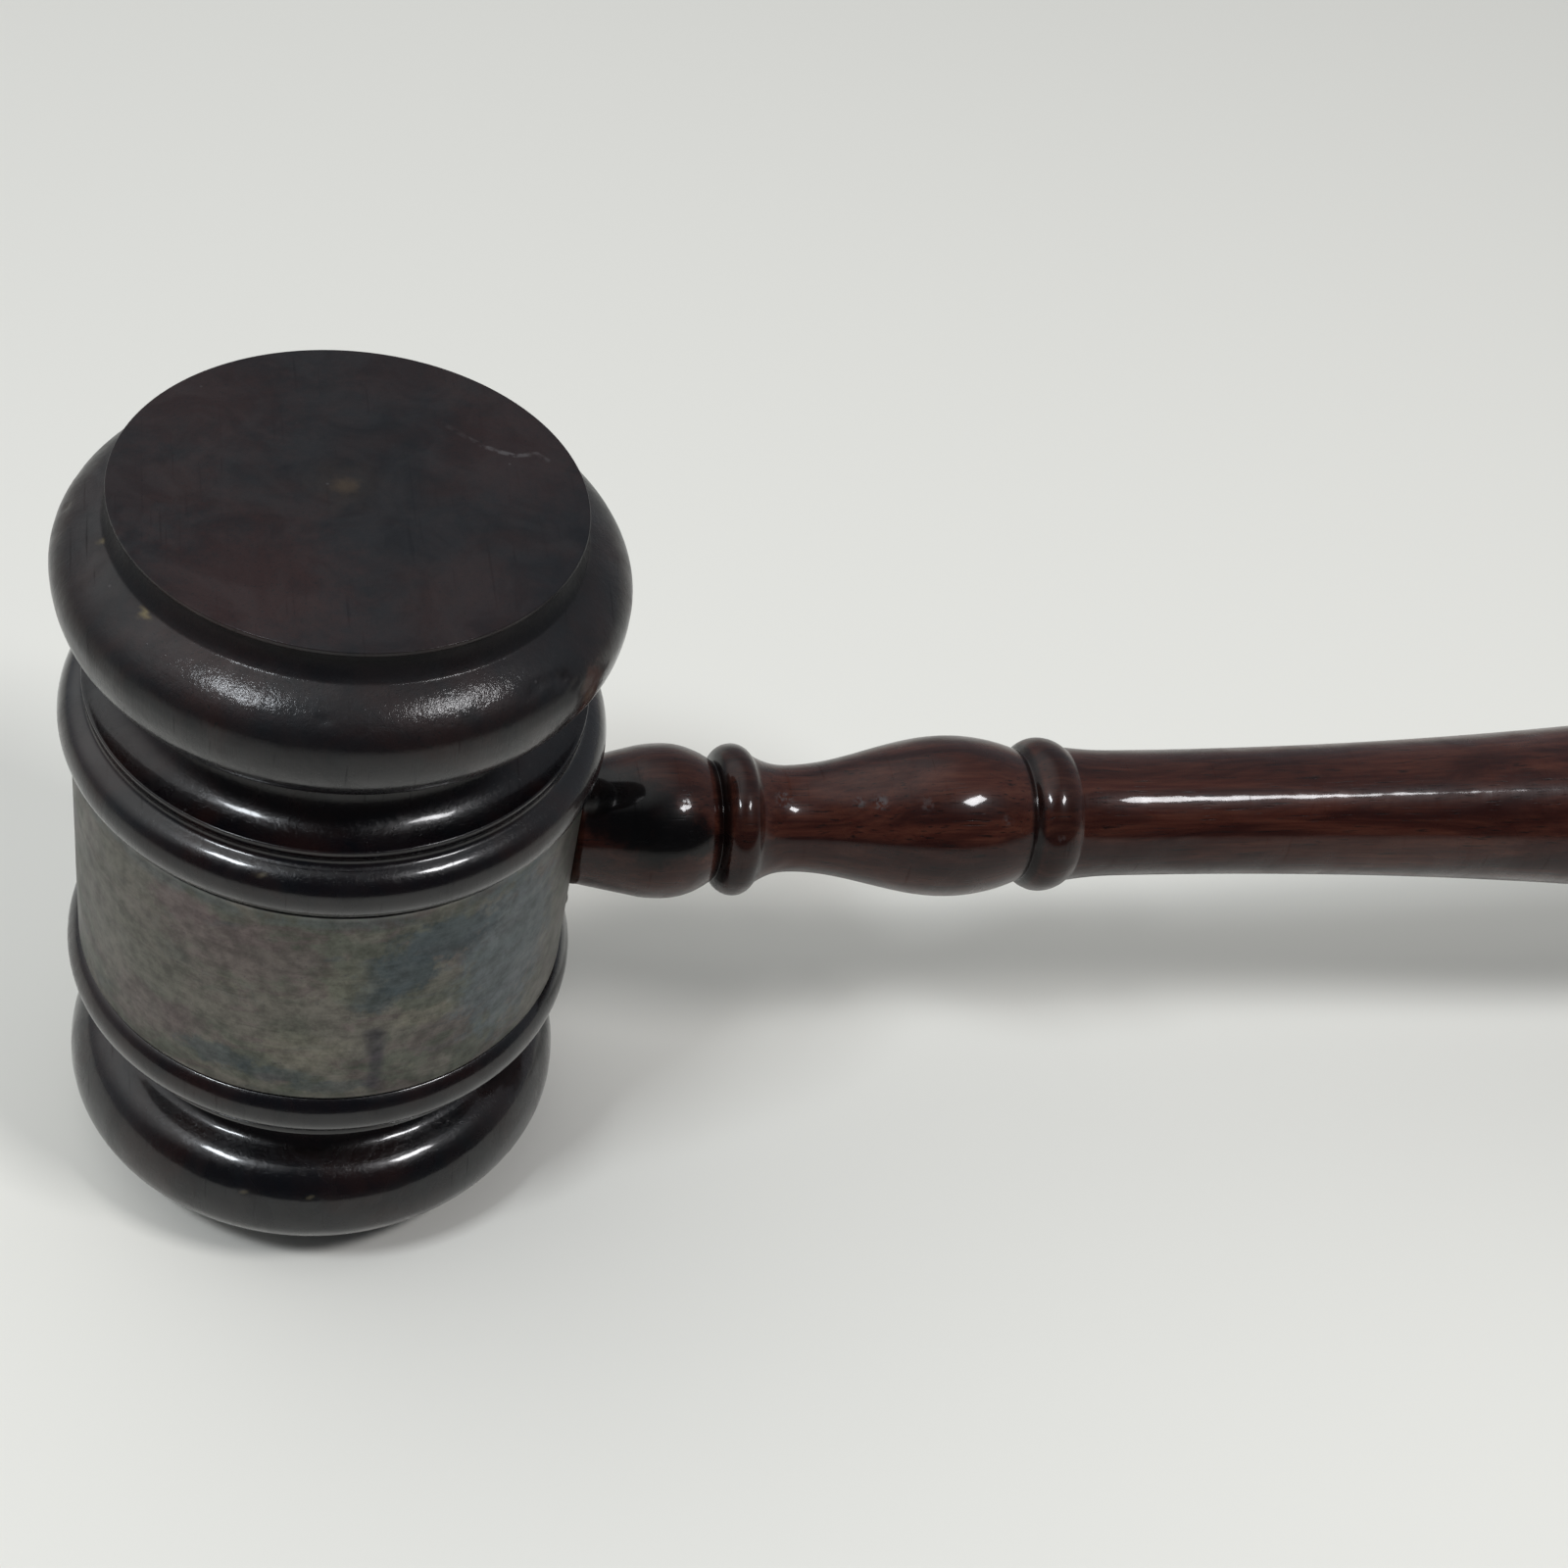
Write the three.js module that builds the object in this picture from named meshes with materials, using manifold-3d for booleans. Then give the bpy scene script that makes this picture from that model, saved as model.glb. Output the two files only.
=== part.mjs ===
// Ceremonial gavel: a turned head, a silver strip let into its waist, four small pins that
// hold the strip's ends, and a turned handle whose tenon is fitted into the head.
//
// Millimetres, +Z up. The head stands on its lower striking face, the origin is the centre
// of that face, the head's axis is Z and the handle points along +X.
import * as THREE from 'three';
import { mergeVertices } from 'three/addons/utils/BufferGeometryUtils.js';
import Module from 'manifold-3d';

const wasm = await Module();
wasm.setup();

// Sizes of the head, which is turned from a round blank. A depth is cut below the blank's
// surface. Recess, astragal, groove, fillet, scotia, end bead, cove and rim follow each other
// from the head's middle outwards, alike on both sides.
const blank = { radius: 30 };
const band = {
  width: 30.8,
  thickness: 0.8,
  depth: 1.45, // the strip's outer face lies this far below the blank's surface
  fit: 0.15, // between the strip and the wood under it
  endGap: 0.25, // between the strip's edge and the shoulder of its recess
  seamGap: 0.35, // between the two ends of the strip
};
const astragal = { depth: 0.16, shoulderDepth: 1.6, neckDepth: 2.4, rise: 2.85, fall: 3.2 };
const groove = { height: 1.45, hollow: 0.4 };
const fillet = { depth: 2.75, height: 0.85 };
const scotia = { deepest: 7.5, fall: 4.7, rise: 2.65, endDepth: 5.5 };
const endBead = { startDepth: 4.2, wall: 0.45, rise: 7.4, fall: 5.9, endDepth: 5.2 };
const cove = { depth: 6.45, height: 3.2 };
const rim = { depth: 5.65, height: 0.6, bevel: 0.12 };

// Sizes of the handle. Lengths follow each other from the band outwards.
const seat = { radius: 7.35, gap: 0.3 };
const ball = { coneLength: 7.75, coneRadius: 9.15, radius: 9.4, rise: 3, fall: 6.2 };
const firstQuirk = { radius: 7.2 };
const firstCollar = { radius: 9.3, rise: 2.6, fall: 2.1, filletRadius: 8.05 };
const neck = { radius: 6.55, fall: 4.8 };
const belly = { radius: 10.05, rise: 20.8, fall: 9.2 };
const secondQuirk = { radius: 8.2 };
const secondCollar = { radius: 9.7, rise: 2.9, fall: 3.1, filletRadius: 8.5 };
const waist = { radius: 8.0, fall: 7.0 };
const grip = { length: 77, endRadius: 11.6 };
const butt = { radius: 13, rise: 30, fall: 20 };
const tenon = { radius: 6.35, pastAxis: 9, fit: 0.15, endSpace: 0.5, bandHoleSpace: 0.35 };
const handleDrop = 0.9; // the handle's axis lies this far below the head's middle

// Sizes of the pins that hold the strip's two ends.
const pin = { shankRadius: 0.5, length: 5, headRadius: 0.95, headHeight: 0.5, fromSeam: 2.1 };
const pinHole = { fit: 0.12, endSpace: 0.5 };
const pinHeadGap = 0.05; // between a pin's head and the strip

// Counts of flat faces and of steps in an outline.
const headSides = 48;
const handleSides = 32;
const boreSides = 24;
const pinSides = 12;
const smallSteps = 3;
const middleSteps = 5;
const largeSteps = 8;
const overrun = 2; // how far a cut runs past the piece it cuts

// Radii and half heights that follow from the sizes above.
const cutTo = (depth) => blank.radius - depth;
const bandRadius = cutTo(band.depth);
const recessRadius = bandRadius - band.thickness - band.fit;
const recessHalf = band.width / 2 + band.endGap;
const quarterTurn = Math.PI / 2;

// How much of a quarter of an ellipse each arc beside the end bead uses.
const scotiaEndTurn = quarterTurn * 0.77;
const beadStartTurn = quarterTurn * 0.83;
const beadEndTurn = quarterTurn * 0.56;

// Outline helpers. An outline point is (along the axis, distance from the axis).
const at = (along, radius) => new THREE.Vector2(along, radius);

// An arc that runs level with the axis at its crest and passes through the end point.
function crestArc(crest, end, steps) {
  const run = end.x - crest.x;
  const drop = crest.y - end.y;
  const turn = 2 * Math.atan2(drop, Math.abs(run));
  const radius = Math.abs(run) / Math.sin(turn);
  const points = [];
  for (let step = 0; step <= steps; step += 1) {
    const angle = (turn * step) / steps;
    const along = crest.x + Math.sign(run) * radius * Math.sin(angle);
    points.push(at(along, crest.y - radius * (1 - Math.cos(angle))));
  }
  return points;
}

// Part of an ellipse, level with the axis at its crest and turned by an angle at its end. With
// an end further from the axis than the crest it is a hollow instead of a bulge.
function ellipseArc(crest, end, turn, steps) {
  const halfLength = (end.x - crest.x) / Math.sin(turn);
  const halfHeight = (crest.y - end.y) / (1 - Math.cos(turn));
  const points = [];
  for (let step = 0; step <= steps; step += 1) {
    const angle = (turn * step) / steps;
    const along = crest.x + halfLength * Math.sin(angle);
    const radius = crest.y - halfHeight * (1 - Math.cos(angle));
    points.push(step === steps ? end.clone() : at(along, radius));
  }
  return points;
}

// A round hollow between two points, as deep as given below the straight line between them.
function hollowArc(from, to, depth, steps) {
  const half = from.distanceTo(to) / 2;
  const radius = (half * half + depth * depth) / (2 * depth);
  const spread = 2 * Math.atan2(depth, half);
  const middle = from.clone().lerp(to, 0.5);
  const chord = to.clone().sub(from).normalize();
  const outward = at(-chord.y, chord.x);
  const centre = middle.clone().addScaledVector(outward, radius - depth);
  const points = [];
  for (let step = 0; step <= steps; step += 1) {
    const angle = spread * ((2 * step) / steps - 1);
    const point = centre.clone().addScaledVector(chord, radius * Math.sin(angle));
    points.push(point.addScaledVector(outward, -radius * Math.cos(angle)));
  }
  return points;
}

// A slow change of radius that runs level with the axis at both ends.
function easeCurve(from, to, steps) {
  const points = [];
  for (let step = 0; step <= steps; step += 1) {
    const share = step / steps;
    const height = (1 - Math.cos(Math.PI * share)) / 2;
    points.push(at(from.x + (to.x - from.x) * share, from.y + (to.y - from.y) * height));
  }
  return points;
}

// Stretches of an outline joined into one, without the point that two of them share.
function joinStretches(stretches) {
  const outline = [];
  for (const point of stretches.flat()) {
    const last = outline.at(-1);
    if (!last || last.distanceTo(point) > 0) outline.push(point);
  }
  return outline;
}

// Solids of revolution. The lathe turns about Y, so the result is laid along Z or X.
function turned(outline, sides) {
  const lathePoints = outline.map((point) => new THREE.Vector2(point.y, point.x));
  return new THREE.LatheGeometry(lathePoints, sides);
}
const alongZ = (geometry) => geometry.rotateX(quarterTurn);
const alongX = (geometry) => geometry.rotateZ(-quarterTurn);

// A plain round bar between two places on its axis.
function barOutline(start, end, radius) {
  return [at(start, 0), at(start, radius), at(end, radius), at(end, 0)];
}

// Solids for cutting and joining, and back again.
function toSolid(geometry) {
  const bare = geometry.clone();
  bare.deleteAttribute('normal');
  bare.deleteAttribute('uv');
  const merged = mergeVertices(bare);
  const corners = merged.index.array;
  const triangles = [];
  for (let i = 0; i < corners.length; i += 3) {
    const [a, b, c] = [corners[i], corners[i + 1], corners[i + 2]];
    if (a !== b && b !== c && c !== a) triangles.push(a, b, c);
  }
  return new wasm.Manifold(new wasm.Mesh({
    numProp: 3,
    vertProperties: new Float32Array(merged.attributes.position.array),
    triVerts: new Uint32Array(triangles),
  }));
}

function toGeometry(solid) {
  const mesh = solid.getMesh();
  const geometry = new THREE.BufferGeometry();
  geometry.setAttribute('position', new THREE.BufferAttribute(mesh.vertProperties, 3));
  geometry.setIndex(new THREE.BufferAttribute(mesh.triVerts, 1));
  geometry.computeVertexNormals();
  return geometry;
}

// The head's outline from the middle of the band's recess up to the striking face.
function headHalfOutline() {
  const shoulder = at(recessHalf, cutTo(astragal.shoulderDepth));
  const astragalCrest = at(shoulder.x + astragal.rise, cutTo(astragal.depth));
  const astragalEnd = at(astragalCrest.x + astragal.fall, cutTo(astragal.neckDepth));
  const filletStart = at(astragalEnd.x + groove.height, cutTo(fillet.depth));
  const filletEnd = at(filletStart.x + fillet.height, filletStart.y);
  const scotiaRoot = at(filletEnd.x + scotia.fall, cutTo(scotia.deepest));
  const scotiaEnd = at(scotiaRoot.x + scotia.rise, cutTo(scotia.endDepth));
  const beadStart = at(scotiaEnd.x + endBead.wall, cutTo(endBead.startDepth));
  const beadCrest = at(beadStart.x + endBead.rise, blank.radius);
  const beadEnd = at(beadCrest.x + endBead.fall, cutTo(endBead.endDepth));
  const coveEnd = at(beadEnd.x + cove.height, cutTo(cove.depth));
  const face = coveEnd.x + rim.height;
  const rimRadius = cutTo(rim.depth);
  return joinStretches([
    [at(recessHalf, recessRadius)],
    crestArc(astragalCrest, shoulder, smallSteps).reverse(),
    crestArc(astragalCrest, astragalEnd, middleSteps),
    hollowArc(astragalEnd, filletStart, groove.hollow, smallSteps),
    ellipseArc(scotiaRoot, filletEnd, quarterTurn, middleSteps).reverse(),
    ellipseArc(scotiaRoot, scotiaEnd, scotiaEndTurn, smallSteps),
    ellipseArc(beadCrest, beadStart, beadStartTurn, middleSteps).reverse(),
    ellipseArc(beadCrest, beadEnd, beadEndTurn, middleSteps),
    crestArc(coveEnd, beadEnd, smallSteps).reverse(),
    [at(coveEnd.x, rimRadius), at(face - rim.bevel, rimRadius), at(face, rimRadius - rim.bevel)],
  ]);
}

const upperOutline = headHalfOutline();
const headHalfLength = upperOutline.at(-1).x;

// Places of the pins: above and below the handle's seat, on both sides of the strip's seam.
const pinHeight = (seat.radius + handleDrop + band.width / 2) / 2;
const pinAngle = pin.fromSeam / bandRadius;
const pinPlaces = [
  { name: 'band_pin_upper_front', height: pinHeight, angle: -pinAngle },
  { name: 'band_pin_upper_back', height: pinHeight, angle: pinAngle },
  { name: 'band_pin_lower_front', height: -pinHeight, angle: -pinAngle },
  { name: 'band_pin_lower_back', height: -pinHeight, angle: pinAngle },
];

// Round holes for the pins, wider than a shank by its fit and longer by an end space.
function pinHoles() {
  const tip = bandRadius - pin.length - pinHole.endSpace;
  const hole = barOutline(tip, bandRadius + overrun, pin.shankRadius + pinHole.fit);
  return pinPlaces.map((place) => {
    const geometry = alongX(turned(hole, pinSides));
    geometry.rotateZ(place.angle);
    geometry.translate(0, 0, place.height);
    return toSolid(geometry);
  });
}

// A round bar along the handle's axis, for the tenon and the holes it goes into.
function handleBar(start, end, radius, sides) {
  const bar = alongX(turned(barOutline(start, end, radius), sides));
  return toSolid(bar.translate(0, 0, -handleDrop));
}

// The head: one turned piece with a blind mortise in its side.
function makeHead() {
  const lowerOutline = upperOutline.map((point) => at(-point.x, point.y)).reverse();
  const outline = [
    at(-headHalfLength, 0),
    ...lowerOutline,
    ...upperOutline,
    at(headHalfLength, 0),
  ];
  const mortiseStart = -tenon.pastAxis - tenon.endSpace;
  const mortiseRadius = tenon.radius + tenon.fit;
  let head = toSolid(alongZ(turned(outline, headSides)));
  head = head.subtract(
    handleBar(mortiseStart, bandRadius + overrun, mortiseRadius, boreSides),
  );
  for (const hole of pinHoles()) head = head.subtract(hole);
  return toGeometry(head);
}

// The presentation band: a strip bent round the waist, with its ends meeting at the handle.
function makeBand() {
  const half = band.width / 2;
  const inner = bandRadius - band.thickness;
  const section = [
    at(-half, inner),
    at(-half, bandRadius),
    at(half, bandRadius),
    at(half, inner),
    at(-half, inner),
  ];
  let strip = toSolid(alongZ(turned(section, headSides)));
  const seamDepth = bandRadius + overrun;
  const seam = new THREE.BoxGeometry(seamDepth, band.seamGap, band.width + overrun);
  strip = strip.subtract(toSolid(seam.translate(seamDepth / 2, 0, 0)));
  const tenonHole = tenon.radius + tenon.bandHoleSpace;
  strip = strip.subtract(handleBar(0, bandRadius + overrun, tenonHole, boreSides));
  for (const hole of pinHoles()) strip = strip.subtract(hole);
  return toGeometry(strip);
}

// One pin: a shank with a low domed head, driven towards the head's axis.
function makePin() {
  const underHead = bandRadius + pinHeadGap;
  const headTop = at(underHead + pin.headHeight, 0);
  const headEdge = at(underHead, pin.headRadius);
  const dome = [];
  for (let step = 0; step <= smallSteps; step += 1) {
    const angle = (quarterTurn * step) / smallSteps;
    const along = headEdge.x + (headTop.x - headEdge.x) * Math.sin(angle);
    dome.push(at(along, step === smallSteps ? 0 : headEdge.y * Math.cos(angle)));
  }
  const outline = [
    at(bandRadius - pin.length, 0),
    at(bandRadius - pin.length, pin.shankRadius),
    at(underHead, pin.shankRadius),
    ...dome,
  ];
  return toGeometry(toSolid(alongX(turned(outline, pinSides))));
}

// The handle's turned outline, from inside the band's surface out to the butt.
function handleOutline() {
  const inside = at(bandRadius - seat.radius, seat.radius);
  const seatPoint = at(bandRadius, seat.radius);
  const coneEnd = at(seatPoint.x + ball.coneLength, ball.coneRadius);
  const ballCrest = at(coneEnd.x + ball.rise, ball.radius);
  const quirkOne = at(ballCrest.x + ball.fall, firstQuirk.radius);
  const collarOne = at(quirkOne.x + firstCollar.rise, firstCollar.radius);
  const filletOne = at(collarOne.x + firstCollar.fall, firstCollar.filletRadius);
  const neckPoint = at(filletOne.x + neck.fall, neck.radius);
  const bellyCrest = at(neckPoint.x + belly.rise, belly.radius);
  const quirkTwo = at(bellyCrest.x + belly.fall, secondQuirk.radius);
  const collarTwo = at(quirkTwo.x + secondCollar.rise, secondCollar.radius);
  const filletTwo = at(collarTwo.x + secondCollar.fall, secondCollar.filletRadius);
  const waistPoint = at(filletTwo.x + waist.fall, waist.radius);
  const gripEnd = at(waistPoint.x + grip.length, grip.endRadius);
  const buttCrest = at(gripEnd.x + butt.rise, butt.radius);
  return joinStretches([
    [at(inside.x, 0), inside],
    [seatPoint],
    crestArc(ballCrest, coneEnd, smallSteps).reverse(),
    crestArc(ballCrest, quirkOne, middleSteps),
    crestArc(collarOne, quirkOne, smallSteps).reverse(),
    crestArc(collarOne, filletOne, smallSteps),
    crestArc(neckPoint, filletOne, smallSteps).reverse(),
    easeCurve(neckPoint, bellyCrest, largeSteps),
    crestArc(bellyCrest, quirkTwo, smallSteps),
    crestArc(collarTwo, quirkTwo, smallSteps).reverse(),
    crestArc(collarTwo, filletTwo, smallSteps),
    crestArc(waistPoint, filletTwo, smallSteps).reverse(),
    crestArc(waistPoint, gripEnd, largeSteps),
    crestArc(buttCrest, gripEnd, middleSteps).reverse(),
    buttOutline(buttCrest),
  ]);
}

// The butt: a quarter of an ellipse that closes on the axis.
function buttOutline(crest) {
  const points = [];
  for (let step = 1; step <= largeSteps; step += 1) {
    const angle = (quarterTurn * step) / largeSteps;
    const along = crest.x + butt.fall * Math.sin(angle);
    points.push(at(along, step === largeSteps ? 0 : crest.y * Math.cos(angle)));
  }
  return points;
}

// The handle: turned, coped at its seat to the band's curve, with its tenon in one piece.
function makeHandle() {
  const turnedBody = alongX(turned(handleOutline(), handleSides)).translate(0, 0, -handleDrop);
  const seatHeight = 2 * (seat.radius + handleDrop) + overrun;
  const barrel = barOutline(-seatHeight / 2, seatHeight / 2, bandRadius + seat.gap);
  const coped = toSolid(turnedBody).subtract(toSolid(alongZ(turned(barrel, headSides))));
  const tenonEnd = bandRadius + ball.coneLength / 2;
  const peg = handleBar(-tenon.pastAxis, tenonEnd, tenon.radius, boreSides);
  return toGeometry(coped.add(peg));
}

// Finishes.
const headWood = new THREE.MeshStandardMaterial({ color: '#241c1c', roughness: 0.32, metalness: 0 });
const handleWood = new THREE.MeshStandardMaterial({ color: '#46211a', roughness: 0.25, metalness: 0 });
const silver = new THREE.MeshStandardMaterial({ color: '#7d7f79', roughness: 0.4, metalness: 0.9 });
const pinSilver = new THREE.MeshStandardMaterial({ color: '#8f8f88', roughness: 0.35, metalness: 0.9 });

function named(name, geometry, material) {
  const mesh = new THREE.Mesh(geometry, material);
  mesh.name = name;
  return mesh;
}

// The assembly, raised so that the lower striking face lies at height zero.
const gavel = new THREE.Group();
gavel.position.z = headHalfLength;
gavel.add(named('head', makeHead(), headWood));
gavel.add(named('presentation_band', makeBand(), silver));
gavel.add(named('handle', makeHandle(), handleWood));
for (const place of pinPlaces) {
  const mesh = named(place.name, makePin(), pinSilver);
  mesh.position.z = place.height;
  mesh.rotation.z = place.angle;
  gavel.add(mesh);
}

export default gavel;
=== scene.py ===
# %% [markdown]
# A ceremonial gavel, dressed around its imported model.
#
# The real thing is two turnings and a strip of silver. A lathe makes the head and the handle,
# the strip is bent round the head's waist, and the handle's tenon is fitted into the head
# through the strip's seam. Each cell here makes one of those pieces or one of its finishes.
# Everything is in metres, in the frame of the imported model: +Z is the head's axis, the head
# stands on height zero, and the handle points along +X.

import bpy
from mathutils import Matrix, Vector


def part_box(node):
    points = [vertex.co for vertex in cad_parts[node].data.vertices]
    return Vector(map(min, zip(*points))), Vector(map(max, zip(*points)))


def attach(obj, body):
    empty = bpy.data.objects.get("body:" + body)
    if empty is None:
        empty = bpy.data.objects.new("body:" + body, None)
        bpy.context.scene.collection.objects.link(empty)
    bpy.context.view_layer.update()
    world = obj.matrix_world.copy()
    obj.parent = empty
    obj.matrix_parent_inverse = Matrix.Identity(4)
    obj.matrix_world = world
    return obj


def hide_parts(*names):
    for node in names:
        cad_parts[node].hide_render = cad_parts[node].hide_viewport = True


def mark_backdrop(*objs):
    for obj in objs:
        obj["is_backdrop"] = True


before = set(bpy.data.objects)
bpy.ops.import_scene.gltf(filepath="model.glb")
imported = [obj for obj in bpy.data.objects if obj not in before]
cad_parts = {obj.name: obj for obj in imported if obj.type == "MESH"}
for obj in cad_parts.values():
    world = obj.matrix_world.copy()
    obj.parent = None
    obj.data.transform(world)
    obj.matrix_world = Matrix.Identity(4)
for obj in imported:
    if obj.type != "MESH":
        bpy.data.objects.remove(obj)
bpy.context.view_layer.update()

import math

import bmesh
import bpy
import numpy as np
from mathutils import Matrix, Vector, noise

MM = 0.001
QUARTER_TURN = math.pi / 2
FULL_TURN = 2 * math.pi
print("nodes in the frame:", ", ".join(sorted(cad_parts)))

# %% [markdown]
# The frame already knows the overall sizes, so they are read from it instead of typed again.
# What the boxes can't tell, such as how deep a hollow is cut, is named in millimetres in the
# cell that needs it. The handle's end stays a hair inside its box, so that rounding never
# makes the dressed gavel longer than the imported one.

# %% Sizes read from the frame
head_low, head_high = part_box("head")
band_low, band_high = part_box("presentation_band")
handle_low, handle_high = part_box("handle")

BLANK_RADIUS = head_high.y
MIDDLE = (head_low.z + head_high.z) / 2
FACE = head_high.z - MIDDLE
BAND_RADIUS = band_high.y
BAND_HALF_WIDTH = (band_high.z - band_low.z) / 2
HANDLE_HEIGHT = (handle_low.z + handle_high.z) / 2
BUTT_RADIUS = (handle_high.z - handle_low.z) / 2
END_MARGIN = 0.001 * MM
HANDLE_END = handle_high.x - END_MARGIN
TENON_TIP = handle_low.x
print(f"head {2 * BLANK_RADIUS / MM:.1f} mm across and {2 * FACE / MM:.1f} mm long")
print(f"handle axis {(MIDDLE - HANDLE_HEIGHT) / MM:.1f} mm below the head's middle")


# %% [markdown]
# A turner thinks in outlines: the shape seen from the side, which the lathe carries round.
# An outline here is a list of (place along the axis, distance from the axis). Beads and
# hollows are arcs, so a few small helpers are enough: an arc from its crest down to an end, a
# round hollow between two points, a slow curve that is level at both ends, and a straight
# line. Two more join such stretches and ease the sharp corners between them.

# %% Helpers for outlines
STEP_LENGTH = 0.45 * MM
SAME_POINT = 1e-7
SHARP_TURN = math.radians(24)
MOST_OF_AN_EDGE = 0.45
EASING_SHARES = (0, 0.33, 0.67, 1)


def steps_for(length, step=STEP_LENGTH):
    return max(2, round(length / step))


def crest_arc(crest, end, step=STEP_LENGTH):
    """An arc that runs level with the axis at its crest and passes through the end point."""
    run = end[0] - crest[0]
    drop = crest[1] - end[1]
    turn = 2 * math.atan2(drop, abs(run))
    radius = abs(run) / math.sin(turn)
    angles = np.linspace(0, turn, steps_for(abs(radius * turn), step) + 1)
    along = crest[0] + math.copysign(1, run) * radius * np.sin(angles)
    return list(zip(along, crest[1] - radius * (1 - np.cos(angles))))


def hollow_arc(start, end, depth, step=STEP_LENGTH):
    """A round hollow between two points, as deep as given below the line between them."""
    start, end = np.array(start), np.array(end)
    half = np.linalg.norm(end - start) / 2
    radius = (half**2 + depth**2) / (2 * depth)
    spread = 2 * math.atan2(depth, half)
    chord = (end - start) / (2 * half)
    outward = np.array([-chord[1], chord[0]])
    centre = (start + end) / 2 + outward * (radius - depth)
    angles = np.linspace(-spread, spread, steps_for(2 * radius * spread, step) + 1)
    return [tuple(centre + radius * (math.sin(a) * chord - math.cos(a) * outward)) for a in angles]


def ease_curve(start, end, step=STEP_LENGTH):
    """A slow change of radius that runs level with the axis at both ends."""
    shares = np.linspace(0, 1, steps_for(abs(end[0] - start[0]), step) + 1)
    heights = (1 - np.cos(math.pi * shares)) / 2
    along = start[0] + (end[0] - start[0]) * shares
    return list(zip(along, start[1] + (end[1] - start[1]) * heights))


def straight(start, end, step):
    shares = np.linspace(0, 1, steps_for(math.dist(start, end), step) + 1)
    return [tuple(np.array(start) + (np.array(end) - np.array(start)) * s) for s in shares]


def join(*stretches):
    """Stretches of an outline as one, without the points that two of them share."""
    outline = []
    for point in (p for stretch in stretches for p in stretch):
        if not outline or math.dist(outline[-1], point) > SAME_POINT:
            outline.append((float(point[0]), float(point[1])))
    return outline


def ease_corners(outline, softness):
    """Each sharp corner becomes a small curve, because no edge on polished wood is a knife edge."""
    eased = [outline[0]]
    for before, corner, after in zip(outline, outline[1:], outline[2:]):
        arriving = np.array(corner) - np.array(before)
        leaving = np.array(after) - np.array(corner)
        lengths = np.linalg.norm(arriving), np.linalg.norm(leaving)
        cosine = float(arriving @ leaving) / (lengths[0] * lengths[1])
        if math.acos(max(-1, min(1, cosine))) < SHARP_TURN:
            eased.append(corner)
            continue
        reach = min(softness, MOST_OF_AN_EDGE * lengths[0], MOST_OF_AN_EDGE * lengths[1])
        first = np.array(corner) - arriving / lengths[0] * reach
        last = np.array(corner) + leaving / lengths[1] * reach
        for share in EASING_SHARES:
            point = (1 - share) ** 2 * first + 2 * share * (1 - share) * np.array(corner)
            eased.append(tuple(point + share**2 * last))
    return eased + [outline[-1]]


# %% [markdown]
# Nodes are made often below, for shapes and for finishes, so one helper adds a node, sets its
# options and feeds its inputs. An input is fed by another node's socket or by a plain value.
# Every geometry tree here reads a shape, some sizes and a material. Each ends the same way too:
# copies are made real, because the export drops instances, and the material is set.

# %% Helpers for nodes
VECTOR, NUMBER, SHAPE = "NodeSocketVector", "NodeSocketFloat", "NodeSocketGeometry"


def add_node(tree, kind, feeds=None, **options):
    made = tree.nodes.new(kind)
    for option, value in options.items():
        setattr(made, option, value)
    for key, value in (feeds or {}).items():
        if isinstance(value, bpy.types.NodeSocket):
            tree.links.new(value, made.inputs[key])
        else:
            made.inputs[key].default_value = value
    return made


def add_sockets(tree, inputs, outputs):
    """Named sockets on a node group: (name, kind, value), where the value may be None."""
    for direction, sockets in (("INPUT", inputs), ("OUTPUT", outputs)):
        for name, kind, value in sockets:
            socket = tree.interface.new_socket(name=name, in_out=direction, socket_type=kind)
            if value is not None:
                socket.default_value = value
    return tree.nodes.new("NodeGroupInput").outputs, tree.nodes.new("NodeGroupOutput").inputs


def start_geometry_tree(name, source, sizes):
    tree = bpy.data.node_groups.new(name, "GeometryNodeTree")
    tree.is_modifier = True
    inputs = [(source, SHAPE, None), *sizes, ("Material", "NodeSocketMaterial", None)]
    given, result = add_sockets(tree, inputs, [("Solid", SHAPE, None)])
    return tree, given, result


def end_geometry_tree(tree, shape, given, result):
    real = add_node(tree, "GeometryNodeRealizeInstances", {"Geometry": shape})
    feeds = {"Geometry": real.outputs[0], "Material": given["Material"]}
    finished = add_node(tree, "GeometryNodeSetMaterial", feeds)
    tree.links.new(finished.outputs["Geometry"], result["Solid"])


# %% [markdown]
# The lathe itself is one Geometry Nodes tree. The outline becomes a curve, a very small arc
# is the path, and Curve to Mesh carries the outline along that path. A full turn makes a
# turned solid, and a part of a turn makes a bent strip, so head, handle, band and pins all
# come from this tree. A screw modifier could do it too, but the tree keeps its sizes in named
# inputs, and its result is a plain mesh.

# %% The lathe as a Geometry Nodes tree
PATH_RADIUS = 0.5 * MM
SAME_PLACE = 0.002 * MM


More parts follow.
